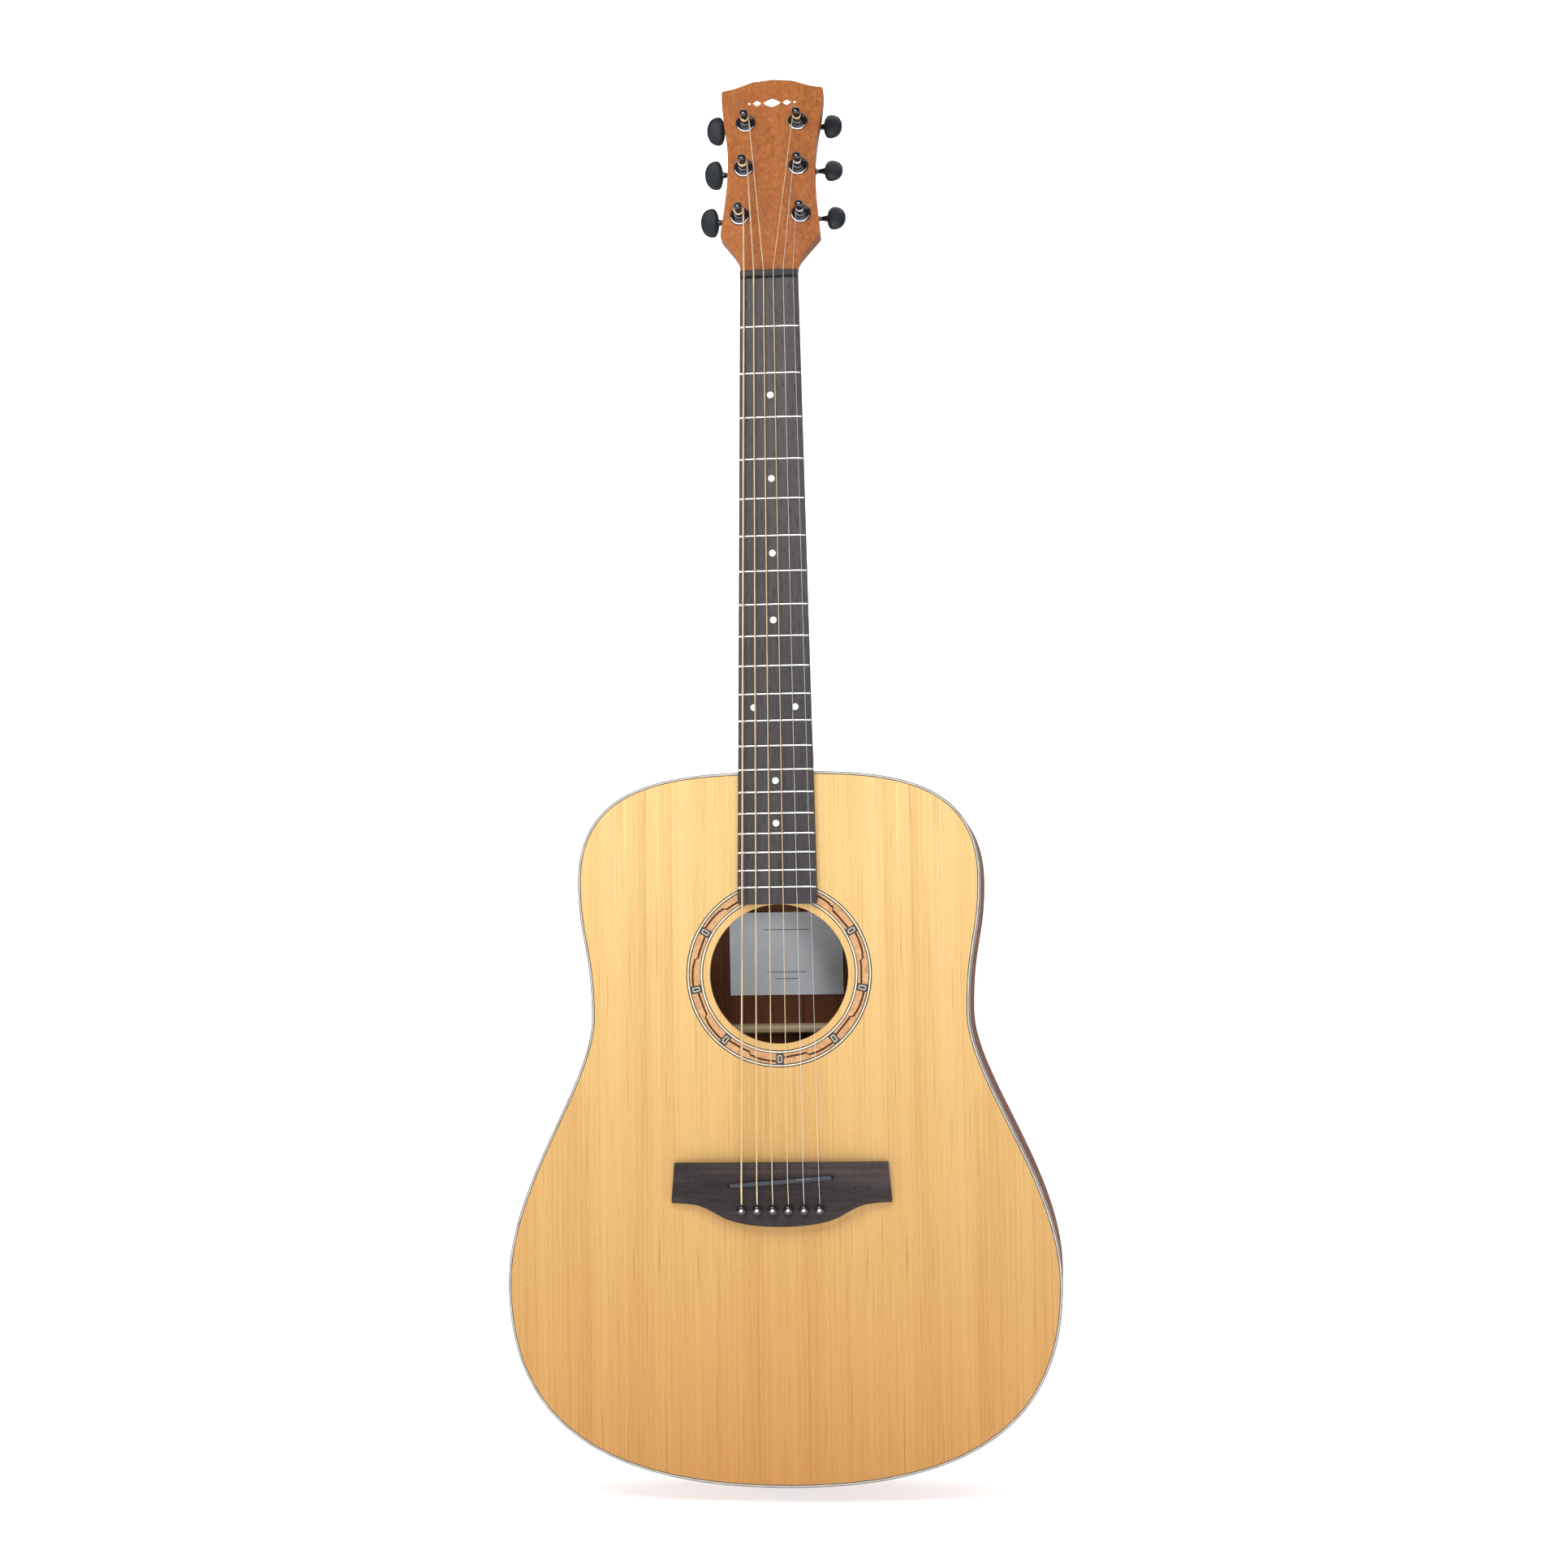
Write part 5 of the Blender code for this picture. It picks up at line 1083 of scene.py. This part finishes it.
def studio():
    low = CAD_BOX[0].z * 1000 - 2
    bend = [(2400 + 1000 * s, low + 1000 - 1000 * c) for c, s in circle(1, 48)[1:13]]
    profile = [(-6000, low), (2400, low)] + bend + [(3400, 5000)]
    rings = [[(x, y, z) for x in (-7000, 7000)] for y, z in profile]
    make("studio_sweep", rings, floor_look(), None, caps=False, cyclic=False)

    world = bpy.data.worlds.new("studio")
    bpy.context.scene.world = world
    world.use_nodes = True
    tree = world.node_tree
    background = tree.nodes["Background"].inputs
    background["Color"].default_value = (1, 1, 1, 1)
    strength = tree.nodes.new("ShaderNodeMapRange")
    strength.inputs["To Min"].default_value = 0.14
    tree.links.new(tree.nodes.new("ShaderNodeLightPath").outputs["Is Camera Ray"], strength.inputs["Value"])
    tree.links.new(strength.outputs["Result"], background["Strength"])
    for name, energy, size, spot, aim in (
        ("key", 11, 0.8, (-0.2, -0.9, 0.3), (0, 0, -0.62)),
        ("front", 6.5, 0.5, (0.66, -2.1, -0.35), (0, 0.1, -0.5)),
        ("backdrop", 60, 2.6, (0.0, 1.3, 2.3), (0, 2.0, -0.8)),
        ("label_fill", 5, 0.35, (0.6, -2.1, -0.38), (0, 0.1, -0.5)),
    ):
        light = bpy.data.lights.new(name, "AREA")
        light.energy = energy
        light.size = size
        lamp = add_object(name, light)
        lamp.location = spot
        lamp.visible_camera = False
        lamp.rotation_euler = (Vector(aim) - Vector(spot)).to_track_quat("-Z", "Y").to_euler()
        if name == "label_fill":
            lit = bpy.data.collections.new("lit_label")
            lit.objects.link(bpy.data.objects["paper_label"])
            lamp.light_linking.receiver_collection = lit

    data = bpy.data.cameras.new("camera")
    data.lens = 62.94
    data.sensor_width = 36
    camera = add_object("camera", data)
    camera.location = (0.205, -1.9664, -0.5064)
    camera.rotation_euler = [math.radians(a) for a in (93.927, 0.773, 5.843)]
    bpy.context.scene.camera = camera
    bpy.context.scene.view_settings.view_transform = "Standard"


soundboard()
bindings()
sides()
back()
back_braces()
label()
rosette()
neck()
fingerboard()
nut()
bridge()
tuners()
strings()
end_pin()
head_inlay()
inner_parts()
studio()
